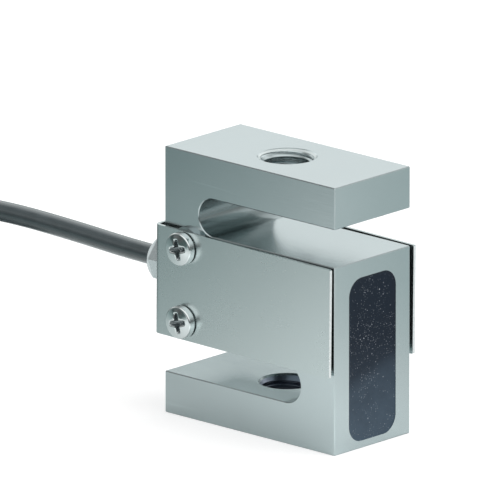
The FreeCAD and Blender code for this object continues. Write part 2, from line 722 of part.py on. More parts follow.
def build_coating(inside):
    """The silicone that fills the front pocket over the gauge and its wiring."""
    disc = DOC.addObject("Part::Cylinder", "coating_blank")
    disc.setExpression("Radius", "sizes.gauge_pocket_bore / 2")
    disc.setExpression("Height", GAUGE_POCKET_DEPTH + " - sizes.coating_recess")
    disc.setExpression("Placement.Base.y", "-" + WEB_FACE)
    disc.setExpression("Placement.Base.z", MID_HEIGHT)
    disc.Placement.Rotation = FreeCAD.Rotation(FreeCAD.Vector(1, 0, 0), 90)
    return keep_node(cut_from(disc, inside, "coating_front"), "coating_front")


def mirror_to_back(source, label):
    """The same piece on the other face of the web."""
    mirror = DOC.addObject("Part::Mirroring", label)
    mirror.Source = source
    mirror.Normal = FreeCAD.Vector(0, 1, 0)
    return keep_node(mirror, label)


# ---------------------------------------------------------------- the gland

def add_hexagon(body, name, start, across_flats, length, turn="0"):
    """Pad a hexagon on the gland's axis towards the cable end."""
    sketch = new_sketch(body, name + "_outline", "YZ_Plane", lift="-" + start, up=MID_HEIGHT)
    sketch.setExpression("AttachmentOffset.Rotation.Angle", turn)
    flat, point = "(%s) / 2" % across_flats, "(%s) / cos(30)" % across_flats
    outline(sketch, [
        ("(%s) / 2" % point, "0"),
        ("(%s) / 4" % point, flat),
        ("-(%s) / 4" % point, flat),
        ("-(%s) / 2" % point, "0"),
        ("-(%s) / 4" % point, "-" + flat),
        ("(%s) / 4" % point, "-" + flat),
    ])
    return add_feature(body, "Pad", name, sketch, length, turned=True)


def add_round(body, kind, name, start, diameter, length=None, turned=True):
    """Pad or cut a round on the gland's axis, from a place on the cable side."""
    sketch = new_sketch(body, name + "_outline", "YZ_Plane", lift="-" + start)
    circle(sketch, "0", MID_HEIGHT, diameter)
    side = "One side" if length else "Symmetric"
    return add_feature(body, kind, name, sketch, length, side=side, turned=turned)


def break_ends(body, base, name, start_x, end_x, size):
    """Chamfer the corners where a hexagon's sides meet its end faces."""
    def end_edge(edge):
        box = edge.BoundBox
        flat = box.XLength < 1e-4 and (near(box.XMin, -start_x) or near(box.XMin, -end_x))
        return flat and edge.Curve.TypeId == "Part::GeomLine"

    return dress(body, "Chamfer", name, base, end_edge, size, "Size")


def build_gland_body():
    """Threaded shank, hexagon and neck, bored for the cable."""
    body = new_body("gland_body")
    hexagon = add_hexagon(body, "hexagon", GLAND_HEX_X, "sizes.gland_hex",
                          "sizes.gland_hex_length")
    break_ends(body, hexagon, "hexagon_break", number(GLAND_HEX_X), number(NECK_X),
               "sizes.edge_break")
    add_round(body, "Pad", "shank", GLAND_HEX_X, "sizes.gland_thread",
              "sizes.gland_shank + sizes.gasket_thickness", turned=False)
    add_round(body, "Pad", "neck", NECK_X, "2 * " + NECK_RADIUS, "sizes.gland_neck_length")
    add_round(body, "Pocket", "cable_bore", NECK_X, "2 * " + CABLE_HOLE)
    return keep_node(body, "gland_body")


def build_gland_gasket():
    """Flat ring between the body's end face and the gland's hexagon."""
    body = new_body("gland_gasket")
    ring = new_sketch(body, "gasket_outline", "YZ_Plane", lift="-" + HALF_WIDTH)
    circle(ring, "0", MID_HEIGHT, "sizes.gasket_outside")
    circle(ring, "0", MID_HEIGHT, "sizes.gland_thread + 2 * sizes.gland_fit")
    add_feature(body, "Pad", "gasket", ring, "sizes.gasket_thickness", turned=True)
    return keep_node(body, "gland_gasket")


def build_gland_nut():
    """Compression nut: a hexagon turned to a round rim, bored over the neck, with a lip inside."""
    body = new_body("gland_nut")
    hexagon = add_hexagon(body, "nut_hexagon", NUT_X, "sizes.gland_nut_hex",
                          "sizes.gland_nut_length", turn="-sizes.gland_nut_turn")
    break_ends(body, hexagon, "nut_break", number(NUT_X), number(NUT_X), "sizes.edge_break")
    waste = new_sketch(body, "nut_rim_profile", "XZ_Plane", up=MID_HEIGHT)
    face, rim = "-" + NUT_END_X, "sizes.gland_nut_rim / 2"
    edge, corner = "sizes.gland_nut_rim_break", "sizes.gland_nut_corner"
    outline(waste, [
        (face, rim + " - " + edge),
        (face + " + " + edge, rim),
        (face + " + " + edge + " + " + corner, rim + " + " + corner),
        (face, rim + " + " + corner),
    ])
    add_turned(body, "Groove", "turned_rim", waste, axis="H_Axis")
    inner = "2 * (" + NECK_RADIUS + " + sizes.gland_fit)"
    add_round(body, "Pocket", "nut_bore", NUT_X, inner,
              "sizes.gland_nut_length - sizes.gland_nut_lip", turned=False)
    add_round(body, "Pocket", "nut_mouth", NUT_X, "2 * " + CABLE_HOLE)
    return keep_node(body, "gland_nut")


def build_gland_seal():
    """Rubber sleeve squeezed between the neck's end and the nut's lip."""
    body = new_body("gland_seal")
    ring = new_sketch(body, "seal_outline", "YZ_Plane", lift="-" + NECK_END_X)
    circle(ring, "0", MID_HEIGHT, "2 * " + NECK_RADIUS)
    circle(ring, "0", MID_HEIGHT, "sizes.cable_jacket")
    add_feature(body, "Pad", "seal", ring, NUT_LIP_X + " - " + NECK_END_X, turned=True)
    return keep_node(body, "gland_seal")


# ---------------------------------------------------------------- wires and cable

def route_edges(points, show=None):
    """Straight runs joined by tangent arcs, each as large as its two runs allow."""
    corners = [FreeCAD.Vector(*point) for point in points]
    edges = []
    start = corners[0]
    for before, corner, after in zip(corners, corners[1:], corners[2:]):
        back = before - corner
        ahead = after - corner
        turn = math.pi - back.getAngle(ahead)
        reach = 0.45 * min(back.Length, ahead.Length)
        radius = reach / math.tan(turn / 2)
        if show:
            print("%s: turn %.1f degrees, radius %.1f" % (show, math.degrees(turn), radius))
        back.normalize()
        ahead.normalize()
        arc_start = corner + back * reach
        arc_end = corner + ahead * reach
        inward = back + ahead
        inward.normalize()
        middle = corner + inward * (radius / math.cos(turn / 2) - radius)
        edges.append(Part.LineSegment(start, arc_start).toShape())
        edges.append(Part.Arc(arc_start, middle, arc_end).toShape())
        start = arc_end
    edges.append(Part.LineSegment(start, corners[-1]).toShape())
    return edges


def swept_tube(name, points, diameter, show=None):
    """A round tube along a route; its volume must be its section times its length."""
    path = Part.Wire(route_edges(points, show))
    direction = FreeCAD.Vector(*points[1]) - FreeCAD.Vector(*points[0])
    end_circle = Part.Circle(FreeCAD.Vector(*points[0]), direction, diameter / 2)
    shape = path.makePipeShell([Part.Wire(end_circle.toShape())], True, False)
    expected = math.pi * (diameter / 2) ** 2 * path.Length
    if abs(shape.Volume - expected) > 0.01 * expected:
        raise RuntimeError("%s has the wrong volume" % name)
    tube = DOC.addObject("Part::Feature", name)
    tube.Shape = shape
    return tube


def build_cores():
    """The four insulated cores from the cable's cut end, through the channels, to the board."""
    jacket_end = -number(JACKET_END_X)
    shank_end = number("sizes.gland_shank") - number(HALF_WIDTH)
    hole_floor = number("sizes.gland_hole_depth") - number(HALF_WIDTH)
    root, channel = number("sizes.core_root_offset"), number(CHANNEL_Y)
    lift = number("sizes.core_spacing") / 2
    cores = {}
    for label, side, up in (("core_red", -1, 1), ("core_black", -1, -1),
                            ("core_green", 1, 1), ("core_white", 1, -1)):
        height = number(MID_HEIGHT) + up * lift
        points = [
            (jacket_end, side * root, height),
            (shank_end, side * root, height),
            (hole_floor - number("sizes.channel_lead_in"), side * channel, height),
            (number(BOARD_X), side * channel, height),
        ]
        core = swept_tube(label, points, number("sizes.core_insulation"))
        cores[label] = keep_node(core, label)
    return cores


def build_hank():
    """The outer shape of the folded cable, grooved underneath where its ties pass."""
    body = new_body("cable_hank")
    plan = new_sketch(body, "hank_outline", "XY_Plane", across=HANK_X)
    oblong(plan, "sizes.hank_run / 2", HANK_OUTSIDE)
    oblong(plan, "sizes.hank_run / 2", HANK_INSIDE)
    bundle = add_feature(body, "Pad", "bundle", plan, HANK_HEIGHT)
    dress(body, "Chamfer", "bundle_rims", bundle, lambda edge: edge.BoundBox.ZLength < 1e-4,
          "sizes.hank_rounding", "Size")
    groove = new_sketch(body, "tie_groove_outline", "YZ_Plane", lift=HANK_X)
    rectangle(groove, TIE_INSIDE, TIE_OUTSIDE, "0", "sizes.tie_thickness")
    rectangle(groove, "-" + TIE_OUTSIDE, "-" + TIE_INSIDE, "0", "sizes.tie_thickness")
    add_feature(body, "Pocket", "tie_grooves", groove, "sizes.tie_width", side="Symmetric")
    return keep_node(body, "cable_hank")


def build_ties():
    """A strap round each run of the hank, with its head on top."""
    body = new_body("hank_ties")
    section = new_sketch(body, "strap_outline", "YZ_Plane", lift=HANK_X)
    wall, width = "sizes.tie_thickness", number("sizes.tie_width")
    rectangle(section, TIE_INSIDE + " - " + wall, TIE_OUTSIDE + " + " + wall,
              "0", HANK_HEIGHT + " + " + wall)
    add_feature(body, "Pad", "strap", section, "sizes.tie_width", side="Symmetric")
    hollow = new_sketch(body, "strap_hollow", "YZ_Plane", lift=HANK_X)
    rectangle(hollow, TIE_INSIDE, TIE_OUTSIDE, wall, HANK_HEIGHT)
    opened = add_feature(body, "Pocket", "bundle_space", hollow, side="Symmetric")

    def at_height(height):
        return lambda edge: runs_along(edge, "X", width) and near(edge.BoundBox.ZMin, height)

    inner_top = number(HANK_HEIGHT)
    inside = dress(body, "Chamfer", "hollow_corners", opened, at_height(inner_top),
                   "sizes.hank_rounding", "Size")
    outer_top = inner_top + number(wall)
    outside = dress(body, "Chamfer", "strap_corners", inside, at_height(outer_top),
                    "sizes.hank_rounding + 0.6 * sizes.tie_thickness", "Size")
    dress(body, "Chamfer", "strap_foot", outside, at_height(0), "sizes.tie_thickness / 2", "Size")
    head = new_sketch(body, "head_outline", "YZ_Plane", lift=HANK_X)
    half_head, top = "sizes.tie_head_length / 2", HANK_HEIGHT + " + " + wall
    rectangle(head, "sizes.hank_mean_radius - " + half_head,
              "sizes.hank_mean_radius + " + half_head, top, top + " + sizes.tie_head_height")
    add_feature(body, "Pad", "head", head, "sizes.tie_width + 2 * sizes.tie_thickness",
                side="Symmetric")
    add_mirror(body, "both_runs", [])
    return keep_node(body, "hank_ties")


def lead_route():
    """The cable's points from its cut end inside the gland to the hank."""
    end, height = -number(NUT_END_X), number(MID_HEIGHT)
    points = [(-number(JACKET_END_X), 0.0, height)]
    points += [(end - along, side, height + rise) for along, side, rise in FROM_GLAND]
    return points + ONTO_HANK


def build_cable():
    """Lead, hank and tail, each ending on the next, and the ties that hold the hank."""
    diameter = number("sizes.cable_jacket")
    hank = build_hank()
    for label, route in (("cable_lead", lead_route()), ("cable_tail", TAIL_ROUTE)):
        tube = swept_tube(label + "_blank", route, diameter, show=label)
        keep_node(cut_from(tube, [hank], label), label)
    build_ties()


def build_stripped_end():
    """The sleeve over the cut jacket and the loose cores that come out of it."""
    x, y, z = TAIL_ROUTE[-1]
    jacket = number("sizes.cable_jacket")
    wall = number("sizes.sleeve_wall")
    length = number("sizes.sleeve_length")
    outside = DOC.addObject("Part::Cylinder", "sleeve_outside")
    outside.Radius = jacket / 2 + wall
    inside = DOC.addObject("Part::Cylinder", "sleeve_inside")
    inside.Radius = jacket / 2
    for tube in (outside, inside):
        tube.Height = length
        tube.Placement = FreeCAD.Placement(FreeCAD.Vector(x - length / 2, y, z),
                                           FreeCAD.Rotation(FreeCAD.Vector(0, 1, 0), 90))
    sleeve = cut_from(outside, [inside], "end_sleeve")
    keep_node(sleeve, "end_sleeve")
    core = number("sizes.core_insulation")
    bare = number("sizes.bare_wire")
    tips = []
    half = number("sizes.core_spacing") / 2
    low = core / 2
    for label, side, up, spread in STRIPPED:
        height = z + up * half
        points = [
            (x, y + side * half, height),
            (x + 9.0, y + side * half, height),
            (x + 18.0, y + side * half + 0.3 * spread, (height + low) / 2),
            (x + 27.0, y + side * half + 0.7 * spread, low),
            (x + 36.0, y + side * half + spread, low),
        ]
        keep_node(swept_tube(label, points, core), label)
        end = FreeCAD.Vector(*points[-1])
        direction = end - FreeCAD.Vector(*points[-2])
        tip = DOC.addObject("Part::Cylinder", label + "_tip")
        tip.Radius = bare / 2
        tip.Height = number("sizes.bare_length")
        tip.Placement = FreeCAD.Placement(end, FreeCAD.Rotation(FreeCAD.Vector(0, 0, 1), direction))
        tips.append(tip)
    group = DOC.addObject("Part::Compound", "bare_ends")
    group.Links = tips
    keep_node(group, "bare_ends")


# ---------------------------------------------------------------- the whole

def build():
    fill_sheet()
    build_spring_element()
    build_side_cover()
    build_spacer_washers()
    build_cover_screws()
    board = build_circuit_board()
    resistors = build_resistors()
    cores = build_cores()
    front = [build_gauge(), build_terminal(), build_jumpers(), build_ribbon()]
    back = [mirror_to_back(piece, piece.Label.replace("front", "back")) for piece in front]
    coating = build_coating(front + [cores["core_red"], cores["core_black"]])
    mirror_to_back(coating, "coating_back")
    build_end_potting([board, resistors, front[3], back[3]] + list(cores.values()))
    build_gland_body()
    build_gland_gasket()
    build_gland_nut()
    build_gland_seal()
    build_cable()
    build_stripped_end()
    DOC.recompute()


def check_document():
    """Stop if any object failed or any piece has no valid shape."""
    for item in DOC.Objects:
        if "Invalid" in item.State or "Error" in item.State:
            raise RuntimeError("%s did not build: %s" % (item.Name, item.State))
    for label, node in NODES:
        if node.Shape.isNull() or not node.Shape.isValid():
            raise RuntimeError("%s has no valid shape" % label)


def write_steps():
    os.makedirs("parts", exist_ok=True)
    for label, node in NODES:
        node.Shape.exportStep(os.path.join("parts", label + ".step"))
        print("%-18s %d solid(s) %.1f mm3" % (label, len(node.Shape.Solids), node.Shape.Volume))


build()
check_document()
write_steps()
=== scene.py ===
"""S-type load cell: finishes, thread and screw detail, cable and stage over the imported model."""

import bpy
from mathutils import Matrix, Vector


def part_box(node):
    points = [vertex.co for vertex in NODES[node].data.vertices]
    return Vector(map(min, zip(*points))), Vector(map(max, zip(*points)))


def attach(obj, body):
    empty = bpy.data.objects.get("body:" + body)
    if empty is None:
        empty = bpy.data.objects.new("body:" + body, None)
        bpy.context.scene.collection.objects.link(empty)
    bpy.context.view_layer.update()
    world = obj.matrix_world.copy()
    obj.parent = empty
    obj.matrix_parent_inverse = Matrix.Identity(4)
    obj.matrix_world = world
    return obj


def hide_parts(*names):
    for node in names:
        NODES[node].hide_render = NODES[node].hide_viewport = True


bl_info = {
    "name": "S-Type Load Cell",
    "version": (1, 0, 0),
    "blender": (4, 5, 0),
    "location": "3D View > Sidebar > Load Cell",
    "description": "Dresses the load cell's solids and adds its threads, screws, cable and stage",
    "category": "Object",
}

import math

import bpy
import numpy as np
from bpy.props import FloatProperty, FloatVectorProperty, IntProperty, PointerProperty
from mathutils import Vector

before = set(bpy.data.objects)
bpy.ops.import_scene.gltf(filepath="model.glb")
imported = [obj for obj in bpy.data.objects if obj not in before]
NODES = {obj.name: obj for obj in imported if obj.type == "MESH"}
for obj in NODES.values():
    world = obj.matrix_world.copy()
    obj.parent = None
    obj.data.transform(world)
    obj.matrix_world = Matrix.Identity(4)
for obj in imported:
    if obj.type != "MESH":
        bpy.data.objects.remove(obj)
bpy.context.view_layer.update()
MM = 0.001

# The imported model's own sizes, which the details fit
ARM, SLOT, WEB = 9.5 * MM, 8.6 * MM, 10.2 * MM
LOAD_RADIUS, CHAMFER = 6.0 * MM, 0.4 * MM
HEAD_RADIUS = 3.7 * MM

# Directions in the room: the camera's right and the way to it, on the floor, and away from it
RIGHTWARD = (0.734, 0.679, 0.0)
TOWARDS = (0.679, -0.734, 0.0)
BEHIND = (-0.68, 0.73, 0.0)


# ---------------------------------------------------------------- sizes and colours


def length(name, description, default):
    """A length in metres, from 0 up."""
    return FloatProperty(name=name, description=description, default=default, min=0.0,
                         unit="LENGTH", precision=5)


def colour(name, description, default):
    return FloatVectorProperty(name=name, description=description, default=default,
                               subtype="COLOR", size=3, min=0.0, max=1.0)


def amount(name, description, default):
    """A share from 0 to 1."""
    return FloatProperty(name=name, description=description, default=default, min=0.0, max=1.0,
                         subtype="FACTOR")


class CellFinish(bpy.types.PropertyGroup):
    """Colours and roughness of the metal, resin and rubber."""

    body: colour("Body", "Nickel plating on the machined body", (0.63, 0.69, 0.70))
    cover: colour("Cover", "Sheet steel of the side cover", (0.64, 0.70, 0.70))
    # the gland's turned rims, and a painted highlight round the gland nut's outer end
    gland_rim_and_highlight: colour("Gland rim", "Turned rims of the gland", (0.80, 0.88, 0.89))
    # painted highlight: the countersink chamfer is less metallic than the body so that it looks
    # brighter
    countersink_highlight: colour("Countersink", "Chamfer at the upper load hole's mouth",
                        (0.60, 0.66, 0.66))
    sheared: colour("Sheared edge", "Free ends of the cover's sheet", (0.80, 0.84, 0.84))
    # painted shade: the darker colour of the slots' round end walls and the load holes' inner mouths
    slot_shade: colour("Milled wall", "Round ends of the slots, left as milled", (0.35, 0.40, 0.405))
    thread: colour("Thread", "Cut load threads", (0.52, 0.57, 0.58))
    # painted shade: a darker copy of the thread's colour for the lower hole, in the lower arm's
    # shade
    shaded_thread: colour("Lower thread", "Cut thread in the shade of the lower arm",
                        (0.30, 0.33, 0.40))
    bright: colour("Bright plating", "Screws", (0.90, 0.93, 0.93))
    # painted shade: the washers sit between the cover and the body and are darker than the cover
    washer: colour("Washer plating", "Spacer washers", (0.40, 0.45, 0.46))
    gland: colour("Gland plating", "Nickel-plated brass of the gland", (0.60, 0.66, 0.67))
    # painted shade: the inside of the cross recess is darker than the head
    recess: colour("Recess", "Inside of the screws' cross recess", (0.34, 0.37, 0.38))
    resin: colour("Resin", "Potting in the end pocket", (0.005, 0.011, 0.023))
    # painted reflection: the lighter colour of the resin's lower part
    resin_reflection: colour("Resin haze", "Where the potting is cloudy", (0.050, 0.078, 0.110))
    jacket: colour("Cable jacket", "Dark grey PVC", (0.040, 0.056, 0.062))
    body_roughness: amount("Body roughness", "Satin of the plated faces", 0.22)
    cover_roughness: amount("Cover roughness", "Satin of the sheet", 0.27)


class ThreadSizes(bpy.types.PropertyGroup):
    """The two load threads."""

    pitch: length("Pitch", "Distance from crest to crest", 1.75 * MM)
    depth: length("Depth", "From the nominal radius in to the crest", 0.78 * MM)
    crest: amount("Crest", "Flat share of each pitch at the crest", 0.42)
    root: amount("Root", "Flat share of each pitch at the root", 0.08)
    lead_in: length("Lead-in", "Height of the cone at each end of the thread", 1.1 * MM)


class ScrewSizes(bpy.types.PropertyGroup):
    """The cross-recessed pan-head screws."""

    head_round: length("Head round", "Radius of the head's upper edge", 0.4 * MM)
    dome: length("Dome", "How far the head's face rises in the middle", 0.55 * MM)
    recess_span: length("Recess span", "Across the cross from tip to tip", 4.4 * MM)
    recess_width: length("Recess width", "Width of one arm at the top", 1.1 * MM)
    recess_depth: length("Recess depth", "At the centre", 2.1 * MM)
    recess_bevel: length("Recess bevel", "Rounded lip of the cross", 0.26 * MM)
    recess_turn: FloatProperty(name="Recess turn", description="Turn of the cross about the axis",
                               default=math.radians(12), subtype="ANGLE")


class CableSizes(bpy.types.PropertyGroup):
    """The four-core cable and how its unseen length is folded into a hank."""

    diameter: length("Diameter", "Outside of the jacket", 4.6 * MM)
    total: length("Length", "From the gland to the cut end of the jacket", 3.0)
    hank_x: FloatProperty(name="Hank middle", description="Along the cable's line",
                          default=-0.160, unit="LENGTH")
    hank_run: length("Run", "Straight part between the hank's round ends", 84.0 * MM)
    hank_radius: length("Mean radius", "Of the two columns of turns", 16.4 * MM)
    hank_layers: IntProperty(name="Layers", description="Layers of turns", default=6, min=1)
    tie_reach: length("Tie reach", "From the ties to the points either side", 14.0 * MM)
    tie_lift: length("Tie lift", "Of the lowest layer over the ties", 0.8 * MM)


class StageSizes(bpy.types.PropertyGroup):
    """Camera, floor and light."""

    azimuth: FloatProperty(name="Azimuth", description="Camera's turn round the object",
                           default=math.radians(42.76), subtype="ANGLE")
    elevation: FloatProperty(name="Elevation", description="Camera's height above the horizon",
                             default=math.radians(16.02), subtype="ANGLE")
    view_width: length("View width", "Width of the view at the object", 0.10996)
    lens: FloatProperty(name="Lens", description="Focal length in millimetres", default=1600.0,
                        min=1.0)
    middle: length("Middle", "Height that the view is centred on", 30.5 * MM)
    aim_left: length("Aim left", "How far left of the object the view is centred", 8.192 * MM)
    aim_up: length("Aim up", "How far above the object the view is centred", 8.672 * MM)
    floor: length("Floor", "Side of the square floor", 4.0)


# ---------------------------------------------------------------- meshes from arrays


def add_object(name, data):
    """Put an object into the scene."""
    made = bpy.data.objects.new(name, data)
    bpy.context.scene.collection.objects.link(made)
    return made


def mesh_piece(name, points, faces, material, sharp, second=None, is_second=None):
    """A riding mesh piece from an array of points and a list of faces, with edges of more than
    `sharp` degrees kept sharp and a second material on the faces of a mask."""
    mesh = bpy.data.meshes.new(name)
    mesh.from_pydata(np.asarray(points, float).reshape(-1, 3).tolist(), [], faces)
    mesh.materials.append(material)
    if second:
        mesh.materials.append(second)
        mesh.polygons.foreach_set("material_index", np.asarray(is_second, np.int32))
    mesh.polygons.foreach_set("use_smooth", np.ones(len(mesh.polygons), bool))
    mesh.set_sharp_from_angle(angle=math.radians(sharp))
    piece = add_object(name, mesh)
    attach(piece, "root")
    return piece


def ring_faces(rings, around, start=0, closed_rings=False, flip=False):
    """Quads between rings of points: ring i, place j joins ring i + 1, place j + 1."""
    i = np.arange(rings if closed_rings else rings - 1)[:, None]
    j = np.arange(around)[None, :]
    a, b = i * around + j, i * around + (j + 1) % around
    c, d = ((i + 1) % rings) * around + (j + 1) % around, ((i + 1) % rings) * around + j
    order = (a, d, c, b) if flip else (a, b, c, d)
    return (np.stack(order, -1).reshape(-1, 4) + start).tolist()


def pole_faces(pole, ring_start, around, flip=False):
    """Triangles from a pole point to a ring of points."""
    j = np.arange(around)
    a, b = ring_start + j, ring_start + (j + 1) % around
    order = (np.full(around, pole), b, a) if flip else (np.full(around, pole), a, b)
    return np.stack(order, -1).tolist()


# ---------------------------------------------------------------- materials


def fill(tree, made, inputs):
    """Link or set a node's inputs by name or number."""
    for key, value in inputs.items():
        value = getattr(value, "socket", value)
        if isinstance(value, bpy.types.NodeSocket):
            tree.links.new(value, made.inputs[key])
        else:
            made.inputs[key].default_value = value
    return made


def node(tree, kind, inputs=None, **settings):
    """Add a node, change its settings and fill its inputs."""
    made = tree.nodes.new(kind)
    for key, value in settings.items():
        setattr(made, key, value)
    return fill(tree, made, inputs or {})


class Field:
    """A number that changes over a surface. Sums, products and comparisons of fields become math
    nodes, and a comparison is 1 where it holds and 0 elsewhere."""

    def __init__(self, tree, socket):
        self.tree, self.socket = tree, socket

    def maths(self, operation, *values):
        made = node(self.tree, "ShaderNodeMath", dict(enumerate(values)), operation=operation)
        return Field(self.tree, made.outputs[0])

    def __add__(self, other):
        return self.maths("ADD", self, other)

    def __sub__(self, other):
        return self.maths("SUBTRACT", self, other)

    def __rsub__(self, other):
        return self.maths("SUBTRACT", other, self)

    def __mul__(self, other):
        return self.maths("MULTIPLY", self, other)

    def __truediv__(self, other):
        return self.maths("DIVIDE", self, other)

    def __lt__(self, other):
        return self.maths("LESS_THAN", self, other)

    def __gt__(self, other):
        return self.maths("GREATER_THAN", self, other)

    def __abs__(self):
        return self.maths("ABSOLUTE", self)

    __radd__ = __add__

    def least(self, other):
        return self.maths("MINIMUM", self, other)

    def most(self, other):
        return self.maths("MAXIMUM", self, other)

    def clamped(self):
        """Kept from 0 to 1."""
        return Field(self.tree, node(self.tree, "ShaderNodeClamp", {0: self}).outputs[0])

    def remap(self, low, high, to_low=0.0, to_high=1.0, way="LINEAR"):
        """Carry low to high over to another range, and stop at its ends."""
        made = node(self.tree, "ShaderNodeMapRange",
                    {"Value": self, "From Min": low, "From Max": high, "To Min": to_low,
                     "To Max": to_high}, interpolation_type=way)
        return Field(self.tree, made.outputs["Result"])

    def ease(self, low, high, to_low=0.0, to_high=1.0):
        """The same, with a soft start and end."""
        return self.remap(low, high, to_low, to_high, "SMOOTHSTEP")


def split(tree, vector):
    """A vector's X, Y and Z as fields."""
    return [Field(tree, part) for part in node(tree, "ShaderNodeSeparateXYZ", {0: vector}).outputs]


def join(tree, x, y):
    """A flat vector from two fields."""
    return node(tree, "ShaderNodeCombineXYZ", {0: x, 1: y}).outputs[0]


def distance(tree, x, y):
    """How far a place is from the axis where x and y are 0."""
    made = node(tree, "ShaderNodeVectorMath", {0: join(tree, x, y)}, operation="LENGTH")
    return Field(tree, made.outputs["Value"])


def reach_along(tree, place, way):
    """How far a place lies along a direction."""
    made = node(tree, "ShaderNodeVectorMath", {0: place, 1: way}, operation="DOT_PRODUCT")
    return Field(tree, made.outputs["Value"])


def noise(tree, place, scale, detail=2.0, roughness=0.5):
    """A cloudy field about 0.5, `scale` lumps to the metre."""
    made = node(tree, "ShaderNodeTexNoise", {"Vector": place, "Scale": scale, "Detail": detail,
                                             "Roughness": roughness})
    return Field(tree, made.outputs[0])


def object_place(tree, scale=(1, 1, 1)):
    """The place on the object in metres, squeezed by `scale`."""
    place = node(tree, "ShaderNodeTexCoord").outputs["Object"]
    return node(tree, "ShaderNodeMapping", {"Vector": place, "Scale": scale}).outputs["Vector"]


def facing(tree):
    """Which way the surface faces, as three fields."""
    return split(tree, node(tree, "ShaderNodeNewGeometry").outputs["True Normal"])


def mix_colour(tree, factor, first, second):
    """The first colour where the factor is 0, the second where it is 1."""
    first, second = (made if isinstance(made, bpy.types.NodeSocket) else (*made[:3], 1.0)
                     for made in (first, second))
    return node(tree, "ShaderNodeMix", {0: factor, 6: first, 7: second},
                data_type="RGBA").outputs[2]


def scaled(tree, tint, factor):
    """A colour times a field."""
    return node(tree, "ShaderNodeVectorMath", {0: tint, "Scale": factor},
                operation="SCALE").outputs[0]


def relief(tree, height, strength, rise, below=None):
    """A normal that follows a height field of a given rise over the normal `below` it."""
    inputs = {"Height": height, "Strength": strength, "Distance": rise}
    if below:
        inputs["Normal"] = below
    return node(tree, "ShaderNodeBump", inputs).outputs[0]


def new_group(name, inputs, outputs):
    """A shader node group with named sockets: the group, its given sockets and its end."""
    group = bpy.data.node_groups.new(name, "ShaderNodeTree")
    for label, kind in inputs.items():
        group.interface.new_socket(name=label, in_out="INPUT", socket_type="NodeSocket" + kind)
    for label in outputs:
        group.interface.new_socket(name=label, in_out="OUTPUT", socket_type="NodeSocketFloat")
    given = group.nodes.new("NodeGroupInput").outputs
    return group, given, group.nodes.new("NodeGroupOutput")


def place_group(tree, group, inputs):
    """Put a group into a material and hand out its outputs as fields by name."""
    made = node(tree, "ShaderNodeGroup", inputs, node_tree=group)
    return {output.name: Field(tree, output) for output in made.outputs}


def new_material(name, constants):
    """A material with its Principled BSDF, whose constant sockets are set directly."""
    material = bpy.data.materials.new(name)
    material.use_nodes = True
    tree = material.node_tree
    return material, tree, fill(tree, tree.nodes["Principled BSDF"], constants)


def build_grain_group():
    """Fine grinding lines along one axis, a cloudy unevenness of the plating, faint scratches,
    and a broad wave of the surface."""
    group, given, end = new_group(
        "plated_grain", {"Vector": "Vector", "Stretched": "Vector", "Scratches": "Float"},
        ("Tone", "Rough", "Height", "Wave"))
    line = noise(group, given["Stretched"], 2600.0, 3.0, 0.6) - 0.5
    cloud = noise(group, given["Vector"], 75.0, 5.0, 0.6) - 0.5
    hair = node(group, "ShaderNodeMapping",
                {"Vector": given["Stretched"], "Rotation": (0.3, 0.5, 0.35)}).outputs[0]
    scratch = noise(group, hair, 700.0, 1.0, 0.3).remap(0.735, 0.80) * given["Scratches"]
    fill(group, end, {"Tone": line * 0.35 + cloud + scratch * 0.9, "Rough": line + cloud * 0.8,
                      "Height": line - scratch,
                      "Wave": noise(group, given["Vector"], 26.0, 1.0, 0.4)})
    return group


def build_mottle_group():
    """The faint cloudiness of moulded plastic, rubber and silicone, from -1 to 1."""
    group, given, end = new_group("soft_mottle", {"Vector": "Vector", "Scale": "Float"},
                                  ("Mottle", "Height"))
    cloud = noise(group, given["Vector"], given["Scale"], 4.0, 0.6)
    fill(group, end, {"Mottle": cloud.remap(0.3, 0.7, -1.0, 1.0), "Height": cloud})
    return group


def plated_material(name, base, roughness, groups, along=(1, 1, 1), tone=0.10, rough=0.12,
                    bump=0.03, scratches=1.0, wave=0.0, darker=None, edges=None):
    """A satin or bright metal whose tone, roughness and relief vary with the plated grain.

    `along` squeezes the pattern so that its lines run that way; `wave` is the height of a broad
    unevenness of the sheet; `darker` gives the colour of painted shade and a function that
    makes its mask; `edges` gives a less metallic colour and the function that makes its mask,
    which is duller metal on sheared edges and a painted highlight on the countersink and the
    gland nut's end."""
    material, tree, shader = new_material(name, {"Metallic": 1.0})
    grain = place_group(tree, groups["grain"],
                        {"Vector": object_place(tree), "Stretched": object_place(tree, along),
                         "Scratches": scratches})
    tint = base
    if darker:
        tint = mix_colour(tree, darker[1](tree), tint, darker[0])
    if edges:
        # less metallic under the mask: duller metal on sheared edges, a painted highlight on the
        # countersink and the gland nut's end
        dull_and_highlight = edges[1](tree)
        tint = mix_colour(tree, dull_and_highlight, tint, edges[0])
        fill(tree, shader, {"Metallic": dull_and_highlight.remap(0.0, 1.0, 1.0, 0.25)})
    broad = relief(tree, grain["Wave"], 1.0, wave) if wave else None
    fill(tree, shader, {
        "Base Color": scaled(tree, tint, grain["Tone"] * tone + 1.0),
        "Roughness": grain["Rough"] * rough + roughness,
        "Normal": relief(tree, grain["Height"], bump, 0.2 * MM, broad),
    })
    return material


def soft_material(name, base, roughness, groups, constants=None):
    """Plastic, rubber or silicone with a faint mottling of colour, gloss and relief."""
    material, tree, shader = new_material(name, constants or {})
    mottle = place_group(tree, groups["mottle"], {"Vector": object_place(tree), "Scale": 300.0})
    fill(tree, shader, {
        "Base Color": scaled(tree, base, mottle["Mottle"] * 0.12 + 1.0),
        "Roughness": mottle["Mottle"] * 0.06 + roughness,
        "Normal": relief(tree, mottle["Height"], 0.12, 0.1 * MM),
    })
    return material


